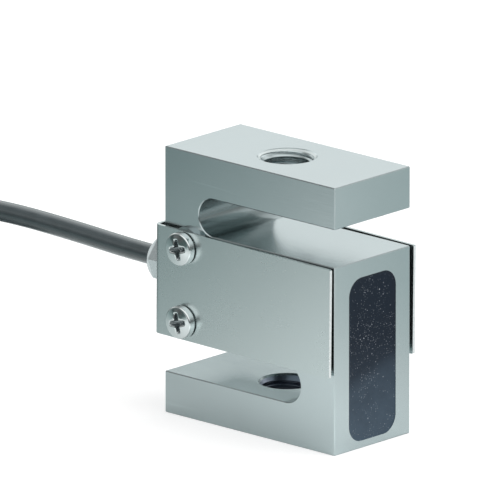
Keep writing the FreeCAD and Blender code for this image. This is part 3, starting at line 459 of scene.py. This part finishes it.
def countersink_highlight_mask(tree):
    """1 on the chamfer at the upper load hole's mouth, where a painted highlight goes, and 0
    elsewhere.
    """
    x, y, z = split(tree, object_place(tree))
    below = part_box("spring_element")[1].z - z
    near = distance(tree, x, y) < LOAD_RADIUS + 0.45 * MM
    return near * below.remap(0.35 * MM, 0.6 * MM, 1.0, 0.0)


def rim_and_highlight_mask(tree):
    """1 on the gland's turned rims, which face partly back along X, and on a painted highlight round
    the nut's outer end; a part of that on the rest, whose plating is duller than the body's."""
    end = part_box("gland_nut")[0].x
    back, x = facing(tree)[0], split(tree, object_place(tree))[0]
    turned = (back < -0.25) * (back > -0.97)
    return turned.most(x.remap(end + 1.0 * MM, end + 1.4 * MM, 1.0, 0.3))


def sheared_edge_mask(tree):
    """1 on the free ends of the folded sheet, which face along X out on the long sides, broken
    up by the fine pits that shearing leaves."""
    place, side = object_place(tree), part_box("spring_element")[1].y
    pits = noise(tree, place, 1500.0).remap(0.38, 0.52, 0.85, 1.0)
    return (facing(tree)[0] > 0.9) * (abs(split(tree, place)[1]) > side) * pits


def slot_shade_mask(tree):
    """Painted shade: 1 on the round end walls of the two slots and the load holes' inner mouths, 0
    elsewhere.

    Formula: inside the body's depth, and nearer to a slot end's axis than its radius and a
    little more, fading out over the first part of the slot's straight walls."""
    low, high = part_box("spring_element")
    skin = 0.12 * MM
    reach = high.x - WEB - SLOT / 2
    x, y, z = split(tree, object_place(tree))
    ends = []
    for side, height in ((1, high.z - ARM - SLOT / 2), (-1, low.z + ARM + SLOT / 2)):
        from_axis = x * side + reach
        near = (abs(z - height) < SLOT / 2 + skin) * (from_axis > -SLOT / 2 - skin)
        ends.append(near * from_axis.remap(-0.1 * MM, 1.2 * MM, 1.0, 0.0))
    walls = ends[0].most(ends[1]) * (abs(y) < high.y - skin)
    half = (high.z - low.z) / 2
    from_middle = abs(z - (low.z + high.z) / 2)
    mouths = (from_middle < half - ARM / 2) * (from_middle > half - ARM - skin)
    return walls.most((distance(tree, x, y) < LOAD_RADIUS + 0.42 * MM) * mouths)


SPECKS = (  # cells to the metre, largest radius and share of cells filled, and brightness
    (2100.0, 0.34, 0.85, 0.30),
    (1500.0, 0.24, 0.55, 0.42),
    (800.0, 0.16, 0.20, 1.0),
)


def resin_material(finish):
    """Dark resin, lighter in its lower part with a painted reflection, and with pale specks and
    bubbles under its skin.

    Formula: the painted reflection rises below a slanting, swirled edge and towards the bottom; a
    speck is a cell's middle, kept where the cell's random number is under the crowding there, which
    is most at the bottom bank and a little above the middle."""
    material, tree, shader = new_material("potting_resin", {"Roughness": 0.25, "IOR": 1.3})
    low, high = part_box("end_potting")
    height = high.z - low.z
    place = object_place(tree)
    y, z = split(tree, place)[1:]
    resin_swirl = noise(tree, place, 110.0, 5.0, 0.65)
    # painted reflection: lighter below a slanting, swirled edge and towards the bottom
    slant = z + (resin_swirl - 0.5) * (5.0 * MM) - y * 0.28
    edge = slant.remap(low.z + 0.44 * height, low.z + 0.34 * height)
    near_bottom = z.remap(low.z + 0.6 * height, low.z)
    painted_reflection = (edge * 0.45 + near_bottom * 0.55).clamped() * resin_swirl.remap(0.3, 0.7, 0.75, 1.25)
    tint = mix_colour(tree, painted_reflection.clamped(), finish.resin, finish.resin_reflection)
    share_up = (z - low.z) / height
    banked = share_up.remap(0.02, 0.14, 0.16, 0.0)
    crowd = noise(tree, place, 230.0) + banked.most(0.12 - abs(share_up - 0.62) * 0.5)
    for scale, largest, share, brightness in SPECKS:
        cells = node(tree, "ShaderNodeTexVoronoi", {"Vector": join(tree, y, z), "Scale": scale},
                     voronoi_dimensions="2D").outputs
        chance, size, shine = split(tree, cells["Color"])
        chosen = chance < crowd.remap(0.44, 0.70, 0.04, share)
        speck = (Field(tree, cells["Distance"]) - size * largest).remap(0.0, -0.10)
        shown = (speck * chosen * (shine * brightness)).clamped()
        tint = mix_colour(tree, shown, tint, (0.55, 0.60, 0.66))
    fill(tree, shader, {"Base Color": tint, "Normal": relief(tree, resin_swirl, 0.25, 0.3 * MM)})
    return material


def finish_node(name, material):
    """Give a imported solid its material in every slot."""
    mesh = NODES[name].data
    if not mesh.materials:
        mesh.materials.append(material)
    for i in range(len(mesh.materials)):
        mesh.materials[i] = material


SOFT_FINISHES = {
    "rubber": ("black_rubber", (0.02, 0.02, 0.02), 0.6),
    "nylon": ("tie_nylon", (0.75, 0.74, 0.70), 0.45),
    "board": ("board_laminate", (0.02, 0.12, 0.05), 0.3),
    "chip": ("resistor_ceramic", (0.03, 0.03, 0.03), 0.5),
    "foil": ("gauge_foil", (0.55, 0.33, 0.08), 0.3),
    "silicone": ("silicone", (0.62, 0.62, 0.60), 0.35),
    "red": ("core_red", (0.45, 0.02, 0.02), 0.35),
    "black": ("core_black", (0.015, 0.015, 0.015), 0.35),
    "green": ("core_green", (0.02, 0.20, 0.05), 0.35),
    "white": ("core_white", (0.72, 0.72, 0.70), 0.35),
    "ribbon": ("ribbon_jacket", (0.35, 0.35, 0.36), 0.4),
}


def materials():
    """Build each material once and hand out the same ones after that."""
    if materials.made:
        return materials.made
    finish = bpy.context.scene.cell_finish
    groups = {"grain": build_grain_group(), "mottle": build_mottle_group()}
    made = {name: soft_material(*values, groups) for name, values in SOFT_FINISHES.items()}

    def plated(key, name, base, roughness, **changes):
        made[key] = plated_material(name, base, roughness, groups, **changes)

    plated("body", "plated_body", finish.body, finish.body_roughness, along=(0.05, 1, 1),
           # darker: painted shade on the slots' round ends and the load holes' inner mouths
           tone=0.07, wave=0.12 * MM, darker=(finish.slot_shade, slot_shade_mask),
           # edges: a painted highlight on the countersink chamfer
           edges=(finish.countersink_highlight, countersink_highlight_mask))
    plated("thread", "cut_thread", finish.thread, 0.20, tone=0.06, bump=0.005, scratches=0.0)
    # painted shade: the lower load thread is a darker copy of the cut thread
    plated("shaded_thread", "shaded_thread", finish.shaded_thread, 0.3, tone=0.06, bump=0.005,
           scratches=0.0)
    plated("cover", "cover_sheet", finish.cover, finish.cover_roughness, tone=0.006, bump=0.0,
           rough=0.02, wave=0.1 * MM, scratches=0.0, edges=(finish.sheared, sheared_edge_mask))
    plated("bright", "bright_plating", finish.bright, 0.12, rough=0.10, scratches=0.5)
    # painted shade: the washers are darker than the plating round them
    plated("washer", "shaded_washer_plating", finish.washer, 0.25)
    # painted shade inside the screws' cross recess
    plated("recess", "shaded_recess_wall", finish.recess, 0.3, scratches=0.0)
    # edges: the turned rims and a painted highlight round the nut's outer end
    plated("gland", "gland_plating", finish.gland, 0.24, edges=(finish.gland_rim_and_highlight, rim_and_highlight_mask))
    plated("copper", "tinned_copper", (0.72, 0.62, 0.52), 0.3)
    made["resin"] = resin_material(finish)
    made["jacket"] = soft_material("cable_jacket", finish.jacket, 0.36, groups,
                                   {"IOR": 1.52, "Coat Weight": 1.0, "Coat Roughness": 0.14,
                                    "Coat IOR": 1.7})
    materials.made = made
    return made


materials.made = None


# ---------------------------------------------------------------- pieces


def thread_sleeve(name, low, high, sizes, thread, mouth, upper, around=192, per_pitch=36):
    """The cut thread of one load hole as a closed sleeve inside the plain wall.

    Formula: at height z and angle t the inner radius is the nominal one less the depth times a
    trapezoid wave of (z / pitch - t / full turn), or less a cone that opens to each end where
    that is shallower, with a soft minimum of the two so that the run-out is smooth; the outer
    radius is the plain wall's. The cone at the upper or the lower end takes the `mouth` material."""
    count = max(int((high - low) / sizes.pitch * per_pitch), 8)
    z = np.linspace(low, high, count)[:, None]
    t = (np.arange(around) * 2 * np.pi / around)[None, :]
    phase = (z / sizes.pitch - t / (2 * np.pi)) % 1.0
    flank = (1 - sizes.crest - sizes.root) / 2
    rise = np.clip((phase - sizes.root / 2) / flank, 0, 1)
    fall = np.clip((1 - sizes.root / 2 - phase) / flank, 0, 1)
    from_end = np.minimum(z - low, high - z)
    cone = sizes.depth * from_end / sizes.lead_in
    profile = sizes.depth * np.minimum(rise, fall)
    soft = 0.04 * MM
    cut = np.maximum(np.minimum(profile, cone) - soft * np.exp(-np.abs(profile - cone) / soft), 0)
    inner = LOAD_RADIUS - 0.01 * MM - cut
    inside = np.stack([inner * np.cos(t), inner * np.sin(t), z + 0 * t], -1)
    outer_z = np.array([high, low])[:, None]
    outside = np.stack([LOAD_RADIUS * np.cos(t) + 0 * outer_z,
                        LOAD_RADIUS * np.sin(t) + 0 * outer_z, outer_z + 0 * t], -1)
    points = np.concatenate([inside, outside])
    faces = ring_faces(len(points), around, closed_rings=True, flip=True)
    from_mouth = (high - z if upper else z - low)[:, 0]
    bright = np.repeat(np.r_[from_mouth < sizes.lead_in, False, False], around)
    return mesh_piece(name, points, faces, thread, sharp=75, second=mouth, is_second=bright)


def cross_outline(angle, half_span, half_width):
    """Radius of the cross recess's outline at an angle from one of its arms.

    Formula: each arm is a superellipse of power five; the two are blended by a power mean, which
    rounds the inner corners."""
    square, blend = 5, 2.6
    c, s = np.abs(np.cos(angle)), np.abs(np.sin(angle))
    arms = [((a / half_span) ** square + (b / half_width) ** square) ** (-1 / square)
            for a, b in ((c, s), (s, c))]
    return (arms[0] ** blend + arms[1] ** blend) ** (1 / blend)


def pan_screw(centre, side, sizes, start, around=192):
    """Points, faces and a mask of the recess's faces, which take painted shade, for one screw
    along Y, whose points are counted from `start`.

    Formula: rings of points round the axis; inside the cross each ring is the outline times a
    share, sunk to the lesser of a steep side wall and a floor that falls from the tips to the
    centre, with a small pit there; then a rounded lip, a slightly domed face, a quarter round, a
    straight side and the narrower seat that the head stands on."""
    head, rise, seat, shank, total = HEAD_RADIUS, 2.5 * MM, 3.1 * MM, 2.0 * MM, 8.0 * MM
    wall_slope, floor_fall, pit_depth, pit_radius = 6.5, 0.62, 0.35 * MM, 0.22 * MM
    half_span, half_width = sizes.recess_span / 2, sizes.recess_width / 2
    bevel, depth, edge = sizes.recess_bevel, sizes.recess_depth, sizes.head_round
    lip_drop = 0.6 * bevel
    face = head - edge
    t = np.arange(around) * 2 * np.pi / around
    turned = t - sizes.recess_turn
    outline = cross_outline(turned, half_span, half_width)
    share = np.array([0.06, 0.14, 0.24, 0.36, 0.48, 0.58, 0.66, 0.73, 0.79, 0.84, 0.88, 0.92,
                      0.95, 0.975, 1.0])[:, None]

    def dome(radius):
        return rise - sizes.dome * (radius / face) ** 1.2

    def sunk(radius, s):
        wall = lip_drop + (1 - s) * half_width * wall_slope
        floor = depth * (1 - floor_fall * radius / half_span)
        return np.minimum(wall, floor) - pit_depth * np.exp(-((radius / pit_radius) ** 2))

    inner_r = share * outline
    lip = np.array([0.3, 0.65, 1.0])[:, None]
    lip_r = cross_outline(turned, half_span + bevel * lip, half_width + bevel * lip)
    spread = np.linspace(0, 1, 12)[1:, None] ** 1.2
    face_r = lip_r[-1] * (1 - spread) + face * spread
    turn = (np.linspace(0, 1, 11)[1:] * np.pi / 2)[:, None] + 0 * t
    low_r = np.array([head, head - 0.1 * MM, seat, seat, shank, shank, shank - 0.3 * MM])
    low_h = np.array([0.42 * MM, 0.32 * MM, 0.28 * MM, 0.0, 0.0, 0.3 * MM - total, -total])
    low_r, low_h = low_r[:, None] + 0 * t, low_h[:, None] + 0 * t
    radius = np.concatenate([inner_r, lip_r, face_r, face + edge * np.sin(turn), low_r])
    height = np.concatenate([dome(inner_r) - sunk(inner_r, share),
                             dome(lip_r) - lip_drop * (1 - lip) ** 2,
                             dome(face_r), rise - sizes.dome - edge * (1 - np.cos(turn)), low_h])
    rings = np.stack([centre[0] + radius * np.cos(t), centre[1] + side * height,
                      centre[2] + radius * np.sin(t)], -1)
    bottom = rise - float(sunk(np.zeros(1), 0.0)[0])
    poles = np.array([[centre[0], centre[1] + side * bottom, centre[2]],
                      [centre[0], centre[1] - side * total, centre[2]]])
    points = np.concatenate([rings.reshape(-1, 3), poles])
    n = len(radius)
    apex, end = start + n * around, start + n * around + 1
    faces = ring_faces(n, around, start, flip=side < 0)
    in_shaded_recess = np.arange(len(faces)) < around * (len(share) - 1)
    faces += pole_faces(apex, start, around, flip=side < 0)
    faces += pole_faces(end, start + (n - 1) * around, around, flip=side > 0)
    in_shaded_recess = np.r_[in_shaded_recess, np.ones(around, bool), np.zeros(around, bool)]
    return points, faces, in_shaded_recess


def rounded_rectangle(half_width, half_height, radius, per_corner=24):
    """Boundary points of a rectangle with round corners, anticlockwise from its right side."""
    turn = np.linspace(0, np.pi / 2, per_corner)
    corners = []
    for k, (sx, sy) in enumerate(((1, 1), (-1, 1), (-1, -1), (1, -1))):
        angle = turn + k * np.pi / 2
        corners.append(np.stack([sx * (half_width - radius) + radius * np.cos(angle),
                                 sy * (half_height - radius) + radius * np.sin(angle)], -1))
    return np.concatenate(corners)


def potting_surface(box, material):
    """The resin: a skin that creeps up the pocket's walls and sags a little between them.

    Formula: each ring is the pocket's rounded rim drawn in by a gap, from nearly half the width
    at the middle to 0 at the wall; its height is a steep creep that dies away over the gap, less
    a shallow sag that grows with it."""
    creep, creep_width, sag, sag_width = 0.13 * MM, 0.28 * MM, 0.10 * MM, 3 * MM
    low, high = box
    half_width, half_height = (high.y - low.y) / 2, (high.z - low.z) / 2
    centre = ((low.y + high.y) / 2, (low.z + high.z) / 2)
    rim = rounded_rectangle(half_width, half_height, 4.0 * MM)
    around = len(rim)
    gap = np.concatenate([np.linspace(half_width * 0.98, 1.2 * MM, 14),
                          np.linspace(1.1 * MM, 0.0, 16)])[:, None]
    rise = creep * np.exp(-gap / creep_width) - sag * (1 - np.exp(-gap / sag_width))
    x = np.concatenate([high.x + rise, [[low.x]]])
    gap = np.concatenate([gap, [[0.0]]])
    n = len(gap)
    y = centre[0] + rim[:, 0] * (half_width - gap) / half_width
    z = centre[1] + rim[:, 1] * (half_height - gap) / half_height
    rings = np.stack([x + 0 * y, y, z], -1)
    poles = [[x[0, 0], *centre], [low.x, *centre]]
    points = np.concatenate([rings.reshape(-1, 3), poles])
    faces = ring_faces(n, around, flip=True)
    faces += pole_faces(n * around, 0, around)
    faces += pole_faces(n * around + 1, (n - 1) * around, around, flip=True)
    return mesh_piece("end_potting_skin", points, faces, material, sharp=60)


# Control points in millimetres, from inside the gland to the hank and from it to the bare end
LEAD_POINTS = [
    (-27.5, 0.0, 30.5),
    (-45.0, 0.0, 30.5),
    (-64.0, 0.0, 31.5),
    (-85.0, 0.4, 31.8),
    (-103.0, -0.8, 31.0),
    (-119.0, -4.6, 29.4),
    (-132.0, -10.2, 26.8),
]
TAIL_POINTS = [
    (-198.0, 13.9, 2.3),
    (-187.5, 10.2, 2.3),
    (-177.0, 4.8, 2.6),
    (-166.5, 1.0, 2.8),
    (-156.0, 1.0, 2.8),
]


def hank_points(sizes):
    """Control points of the hank's turns, from the top layer down.

    Formula: one turn is two straight runs and two half circles, each half circle six corners of
    the polygon round it; with each turn the radius steps between the two columns or the height
    drops by a layer, and the place of that step moves back round the loop so that no turn meets
    another; beside the ties the layers are squeezed up by the tie's thickness."""
    half, mean, step = sizes.hank_run / 2, sizes.hank_radius, sizes.diameter / 2
    corner = math.radians(15)
    left = np.radians(-105 - 30 * np.arange(6))
    right = left + np.pi
    slip, reach = math.tan(corner), sizes.tie_reach
    along = np.r_[reach, -reach, -half, np.full(6, -half), -half, -reach, reach, half,
                  np.full(6, half), half]
    share_x = np.r_[0, 0, slip, np.cos(left) / math.cos(corner), slip, 0, 0, -slip,
                    np.cos(right) / math.cos(corner), -slip]
    share_y = np.r_[-1, -1, -1, np.sin(left) / math.cos(corner), 1, 1, 1, 1,
                    np.sin(right) / math.cos(corner), -1]
    loop = len(along)
    beside_tie = np.isin(np.arange(loop), (0, 1, loop // 2, loop // 2 + 1))
    states, between = 2 * sizes.hank_layers, loop - 2
    station = np.arange(between * (states - 1) + loop // 2 + 1)
    change = between * np.arange(1, states) - 1
    done = np.clip((station[:, None] - change) / 2, 0, 1).sum(1)
    state = np.arange(states)
    column = np.where((state + 1) // 2 % 2, 1, -1)
    radius = mean + step * np.interp(done, state, column)
    level = np.interp(done, state, sizes.hank_layers - 1 - state // 2)
    place = station % loop
    plain = step + sizes.diameter * level
    top = sizes.diameter * (sizes.hank_layers - 1)
    top_lift = 0.2 * MM
    squeezed = plain + sizes.tie_lift - (plain - step) * (sizes.tie_lift - top_lift) / top
    x = sizes.hank_x + along[place] + radius * share_x[place]
    return np.stack([x, radius * share_y[place], np.where(beside_tie[place], squeezed, plain)], -1)


# ---------------------------------------------------------------- operators


class CELL_OT_body(bpy.types.Operator):
    """Finish the machined body and cut its two load threads"""

    bl_idname = "cell.body"
    bl_label = "Body and load threads"

    def execute(self, context):
        made, sizes = materials(), context.scene.cell_thread
        finish_node("spring_element", made["body"])
        low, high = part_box("spring_element")
        for name, bottom in (("lower_load_thread", low.z), ("upper_load_thread", high.z - ARM)):
            upper = bottom > low.z
            piece = thread_sleeve(name, bottom + CHAMFER, bottom + ARM - CHAMFER, sizes,
                                  made["thread" if upper else "shaded_thread"], made["body"], upper)
        return {"FINISHED"}


class CELL_OT_cover(bpy.types.Operator):
    """Finish the folded cover and its spacer washers"""

    bl_idname = "cell.cover"
    bl_label = "Side cover and washers"

    def execute(self, context):
        made = materials()
        finish_node("side_cover", made["cover"])
        finish_node("spacer_washers", made["washer"])
        return {"FINISHED"}


class CELL_OT_screws(bpy.types.Operator):
    """Model the four cover screws with their cross recesses"""

    bl_idname = "cell.screws"
    bl_label = "Cover screws"

    def execute(self, context):
        made, sizes = materials(), context.scene.cell_screw
        low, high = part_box("cover_screws")
        cover_low, cover_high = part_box("side_cover")
        x = (low.x + high.x) / 2
        points, faces, in_shaded_recess = [], [], []
        for z in (low.z + HEAD_RADIUS, high.z - HEAD_RADIUS):
            for side, y in ((-1, cover_low.y), (1, cover_high.y)):
                screw = pan_screw((x, y, z), side, sizes, start=sum(map(len, points)))
                points.append(screw[0])
                faces += screw[1]
                in_shaded_recess.append(screw[2])
        piece = mesh_piece("cover_screw_set", np.concatenate(points), faces, made["bright"],
                           sharp=40, second=made["recess"], is_second=np.concatenate(in_shaded_recess))
        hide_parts("cover_screws")
        return {"FINISHED"}


class CELL_OT_potting(bpy.types.Operator):
    """Model the resin skin in the end pocket"""

    bl_idname = "cell.potting"
    bl_label = "End potting"

    def execute(self, context):
        piece = potting_surface(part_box("end_potting"), materials()["resin"])
        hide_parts("end_potting")
        return {"FINISHED"}


class CELL_OT_inside(bpy.types.Operator):
    """Finish the gauges, wires and board inside the body"""

    bl_idname = "cell.inside"
    bl_label = "Gauges, wires and board"

    def execute(self, context):
        made = materials()
        finishes = {
            "circuit_board": "board", "trim_resistors": "chip", "gauge_front": "foil",
            "gauge_back": "foil", "terminal_front": "foil", "terminal_back": "foil",
            "jumpers_front": "copper", "jumpers_back": "copper", "ribbon_front": "ribbon",
            "ribbon_back": "ribbon", "coating_front": "silicone", "coating_back": "silicone",
            "core_red": "red", "core_black": "black", "core_green": "green",
            "core_white": "white",
        }
        for name, material in finishes.items():
            finish_node(name, made[material])
        return {"FINISHED"}


class CELL_OT_gland(bpy.types.Operator):
    """Finish the cable gland and its seals"""

    bl_idname = "cell.gland"
    bl_label = "Cable gland"

    def execute(self, context):
        made = materials()
        for name in ("gland_body", "gland_nut"):
            finish_node(name, made["gland"])
        for name in ("gland_gasket", "gland_seal"):
            finish_node(name, made["rubber"])
        return {"FINISHED"}


class CELL_OT_cable(bpy.types.Operator):
    """Lay the cable from the gland to its hank and stripped end"""

    bl_idname = "cell.cable"
    bl_label = "Cable"

    def execute(self, context):
        made, sizes = materials(), context.scene.cell_cable
        points = np.concatenate([np.array(LEAD_POINTS) * MM, hank_points(sizes),
                                 np.array(TAIL_POINTS) * MM])
        curve = bpy.data.curves.new("cable", "CURVE")
        curve.dimensions = "3D"
        curve.bevel_depth = sizes.diameter / 2
        curve.bevel_resolution = 6
        curve.resolution_u = 6
        curve.use_fill_caps = True
        spline = curve.splines.new("NURBS")
        spline.points.add(len(points) - 1)
        spline.points.foreach_set("co", np.c_[points, np.ones(len(points))].ravel())
        spline.order_u = 3
        spline.use_endpoint_u = True
        curve.materials.append(made["jacket"])
        piece = add_object("cable", curve)
        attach(piece, "root")
        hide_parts("cable_lead", "cable_hank", "cable_tail")
        leads = ["lead_red", "lead_black", "lead_green", "lead_white"]
        for name in leads:
            finish_node(name, made[name.split("_")[1]])
        finish_node("bare_ends", made["copper"])
        finish_node("hank_ties", made["nylon"])
        finish_node("end_sleeve", made["rubber"])
        return {"FINISHED"}


def bare_tree(owner, output):
    """Empty the node tree of a material or world, but for its output."""
    owner.use_nodes = True
    owner.node_tree.nodes.clear()
    return owner.node_tree, owner.node_tree.nodes.new(output)


def rays(tree):
    """Fields that are 1 for camera, glossy and transmission rays."""
    path = node(tree, "ShaderNodeLightPath").outputs
    return [Field(tree, path["Is %s Ray" % kind]) for kind in ("Camera", "Glossy", "Transmission")]


def mix_shader(tree, factor, first, second):
    """The first shader where the factor is 0, the second where it is 1."""
    return node(tree, "ShaderNodeMixShader", {0: factor, 1: first.outputs[0],
                                              2: second.outputs[0]})


def plain_shader(tree, kind, tint, strength=None):
    """An emission, background or diffuse shader of one colour."""
    inputs = {"Color": tint if isinstance(tint, bpy.types.NodeSocket) else (*tint, 1.0)}
    if strength is not None:
        inputs["Strength"] = strength
    return node(tree, kind, inputs)


def floor_material():
    """A white table.

    The camera sees it white with the object's shadow, and it lights the object as plain pale
    paper. Gloss and glass see it dim to both sides, less so on the right and near the camera,
    and most far out on the left and at its front edge; brighter before the object than behind
    it, but not close to the camera; brighter in a patch under the cable; and cooler where it
    is dim."""
    material = bpy.data.materials.new("studio_floor")
    tree, out = bare_tree(material, "ShaderNodeOutputMaterial")
    place = node(tree, "ShaderNodeTexCoord").outputs["Object"]
    x, y = split(tree, place)[:2]
    across, towards = (reach_along(tree, place, way) for way in (RIGHTWARD, TOWARDS))
    middle = abs(across).ease(0.02, 0.15, 0.0, 0.36)
    eased = towards.remap(0.02, 0.05, 1.0, 0.5).least(across.remap(-0.02, 0.02, 1.0, 0.82))
    left = (across * -1.0).ease(0.12, 0.24, 0.0, 0.20)
    nearer = towards.remap(-0.01, 0.045, 0.87, 1.38)
    edge = (y * -1.0).ease(0.19, 0.28, 1.0, 0.25)
    close = towards.remap(0.05, 0.10, 1.0, 0.72)
    patch = distance(tree, (x + 0.09) * 0.5, (y - 0.005) * 1.2).remap(0.02, 0.05, 1.4, 1.0)
    dimmed = (0.92 - middle * eased - left) * nearer * (edge * (close * patch))
    red = dimmed * (dimmed * 0.37 + 0.63).least(0.93)
    tint = node(tree, "ShaderNodeCombineColor", {0: red, 1: dimmed, 2: dimmed}).outputs[0]
    camera, glossy, through = rays(tree)
    tint = mix_colour(tree, camera, tint, (1, 1, 1))
    glow = plain_shader(tree, "ShaderNodeEmission", tint, camera.remap(0.0, 1.0, 0.10, 0.62))
    lit = scaled(tree, tint, camera.remap(0.0, 1.0, 0.62, 0.5))
    paper = plain_shader(tree, "ShaderNodeBsdfDiffuse", lit)
    seen = node(tree, "ShaderNodeAddShader", {0: glow.outputs[0], 1: paper.outputs[0]})
    plain = plain_shader(tree, "ShaderNodeBsdfDiffuse", (0.8, 0.8, 0.8))
    both = mix_shader(tree, (camera + glossy + through).clamped(), plain, seen)
    fill(tree, out, {"Surface": both.outputs[0]})
    return material


def studio_world():
    """White for the camera, a plain even level for light, and for gloss a room.

    The room is white behind the object and overhead, and dark low on the camera's side. Formula:
    the wall's brightness eases up with height, sooner behind than in front; it is less high up
    to the sides and more in a low panel straight behind, and a dark flag dims the left."""
    world = bpy.data.worlds.new("studio")
    bpy.context.scene.world = world
    tree, out = bare_tree(world, "ShaderNodeOutputWorld")
    way = node(tree, "ShaderNodeTexCoord").outputs["Generated"]
    x, height = split(tree, way)[::2]
    behind = reach_along(tree, way, BEHIND)
    side = height.ease(0.40, 0.60) * behind.ease(0.40, 0.62, 1.0, 0.0)
    back = height.ease(0.10, 0.36, 0.45, 0.95) - side * 0.38
    front = height.ease(0.12, 0.50, 0.14, 0.95)
    room = behind.ease(-0.30, 0.10)
    wall = back * room + front * (1.0 - room)
    flag = (x * -1.0).ease(0.35, 0.60) * behind.ease(0.35, 0.65, 1.0, 0.0)
    band = height.ease(0.12, 0.34) * height.ease(0.42, 0.62, 1.0, 0.0)
    panel = band * behind.ease(0.55, 0.90, 0.0, 0.20)
    level = wall * flag.remap(0.0, 1.0, 1.0, 0.42) + panel
    background = "ShaderNodeBackground"
    gloss = plain_shader(tree, background, (0.96, 1, 1), level)
    light = plain_shader(tree, background, (1, 1, 1), 0.75)
    white = plain_shader(tree, background, (1, 1, 1), 1.0)
    camera, glossy, through = rays(tree)
    seen = mix_shader(tree, (glossy + through).clamped(), light, gloss)
    fill(tree, out, {"Surface": mix_shader(tree, camera, seen, white).outputs[0]})


def stage_sheet(name, corners, material):
    """One quad of the stage."""
    mesh = bpy.data.meshes.new(name)
    mesh.from_pydata([tuple(corner) for corner in corners], [], [(0, 1, 2, 3)])
    mesh.materials.append(material)
    add_object(name, mesh)


def grey_card(away, width, height):
    """A low grey step behind the object that only gloss sees, to tone the lower arm's top."""
    material = bpy.data.materials.new("grey_card")
    tree, out = bare_tree(material, "ShaderNodeOutputMaterial")
    grey = plain_shader(tree, "ShaderNodeEmission", (0.86, 1, 1), 0.42)
    clear = tree.nodes.new("ShaderNodeBsdfTransparent")
    fill(tree, out, {"Surface": mix_shader(tree, rays(tree)[1], clear, grey).outputs[0]})
    middle, side = Vector(TOWARDS) * -away, Vector(RIGHTWARD) * width / 2
    up = Vector((0, 0, height))
    stage_sheet("grey_card", (middle - side, middle + side, middle + side + up,
                              middle - side + up), material)


def softbox(place, target, side, power):
    """A square area lamp that gloss doesn't see."""
    lamp = bpy.data.lights.new("overhead_softbox", "AREA")
    lamp.shape = "RECTANGLE"
    lamp.size = lamp.size_y = side
    lamp.energy = power
    made = add_object("overhead_softbox", lamp)
    made.location = place
    made.rotation_euler = (Vector(target) - Vector(place)).to_track_quat("-Z", "Y").to_euler()
    made.visible_glossy = False


class CELL_OT_stage(bpy.types.Operator):
    """Set the floor, world, lamp and camera"""

    bl_idname = "cell.stage"
    bl_label = "Stage"

    def execute(self, context):
        stage = context.scene.cell_stage
        half = stage.floor / 2
        corners = ((-half, -half, 0), (half, -half, 0), (half, half, 0), (-half, half, 0))
        stage_sheet("floor", corners, floor_material())
        grey_card(away=0.33, width=0.6, height=0.118)
        studio_world()
        softbox((0.3, 0.25, 0.9), target=(0, 0, 0.03), side=0.8, power=6.0)
        a, e = stage.azimuth, stage.elevation
        back = Vector((math.sin(a) * math.cos(e), -math.cos(a) * math.cos(e), math.sin(e)))
        right = Vector((math.cos(a), math.sin(a), 0))
        up = back.cross(right)
        centre = Vector((0, 0, stage.middle)) - right * stage.aim_left + up * stage.aim_up
        camera = bpy.data.cameras.new("camera")
        camera.lens = stage.lens
        camera.sensor_width = 36
        camera.clip_start, camera.clip_end = 0.1, 100
        seen_from = add_object("camera", camera)
        seen_from.location = centre + back * stage.view_width * stage.lens / camera.sensor_width
        seen_from.rotation_euler = (-back).to_track_quat("-Z", "Y").to_euler()
        context.scene.camera = seen_from
        context.scene.view_settings.view_transform = "Standard"
        return {"FINISHED"}


class CELL_PT_panel(bpy.types.Panel):
    """Lists the load cell's steps"""

    bl_label = "Load Cell"
    bl_idname = "CELL_PT_panel"
    bl_space_type = "VIEW_3D"
    bl_region_type = "UI"
    bl_category = "Load Cell"

    def draw(self, context):
        for operator in STEPS:
            self.layout.operator(operator.bl_idname)


GROUPS = (
    ("cell_finish", CellFinish),
    ("cell_thread", ThreadSizes),
    ("cell_screw", ScrewSizes),
    ("cell_cable", CableSizes),
    ("cell_stage", StageSizes),
)
STEPS = (CELL_OT_stage, CELL_OT_cable, CELL_OT_body, CELL_OT_cover, CELL_OT_screws,
         CELL_OT_potting, CELL_OT_inside, CELL_OT_gland)


def register():
    for name, group in GROUPS:
        bpy.utils.register_class(group)
        setattr(bpy.types.Scene, name, PointerProperty(type=group))
    for made in (*STEPS, CELL_PT_panel):
        bpy.utils.register_class(made)


def unregister():
    for made in reversed((*STEPS, CELL_PT_panel)):
        bpy.utils.unregister_class(made)
    for name, group in reversed(GROUPS):
        delattr(bpy.types.Scene, name)
        bpy.utils.unregister_class(group)


def main():
    register()
    for step in STEPS:
        group, name = step.bl_idname.split(".")
        getattr(getattr(bpy.ops, group), name)()


if __name__ == "__main__":
    main()
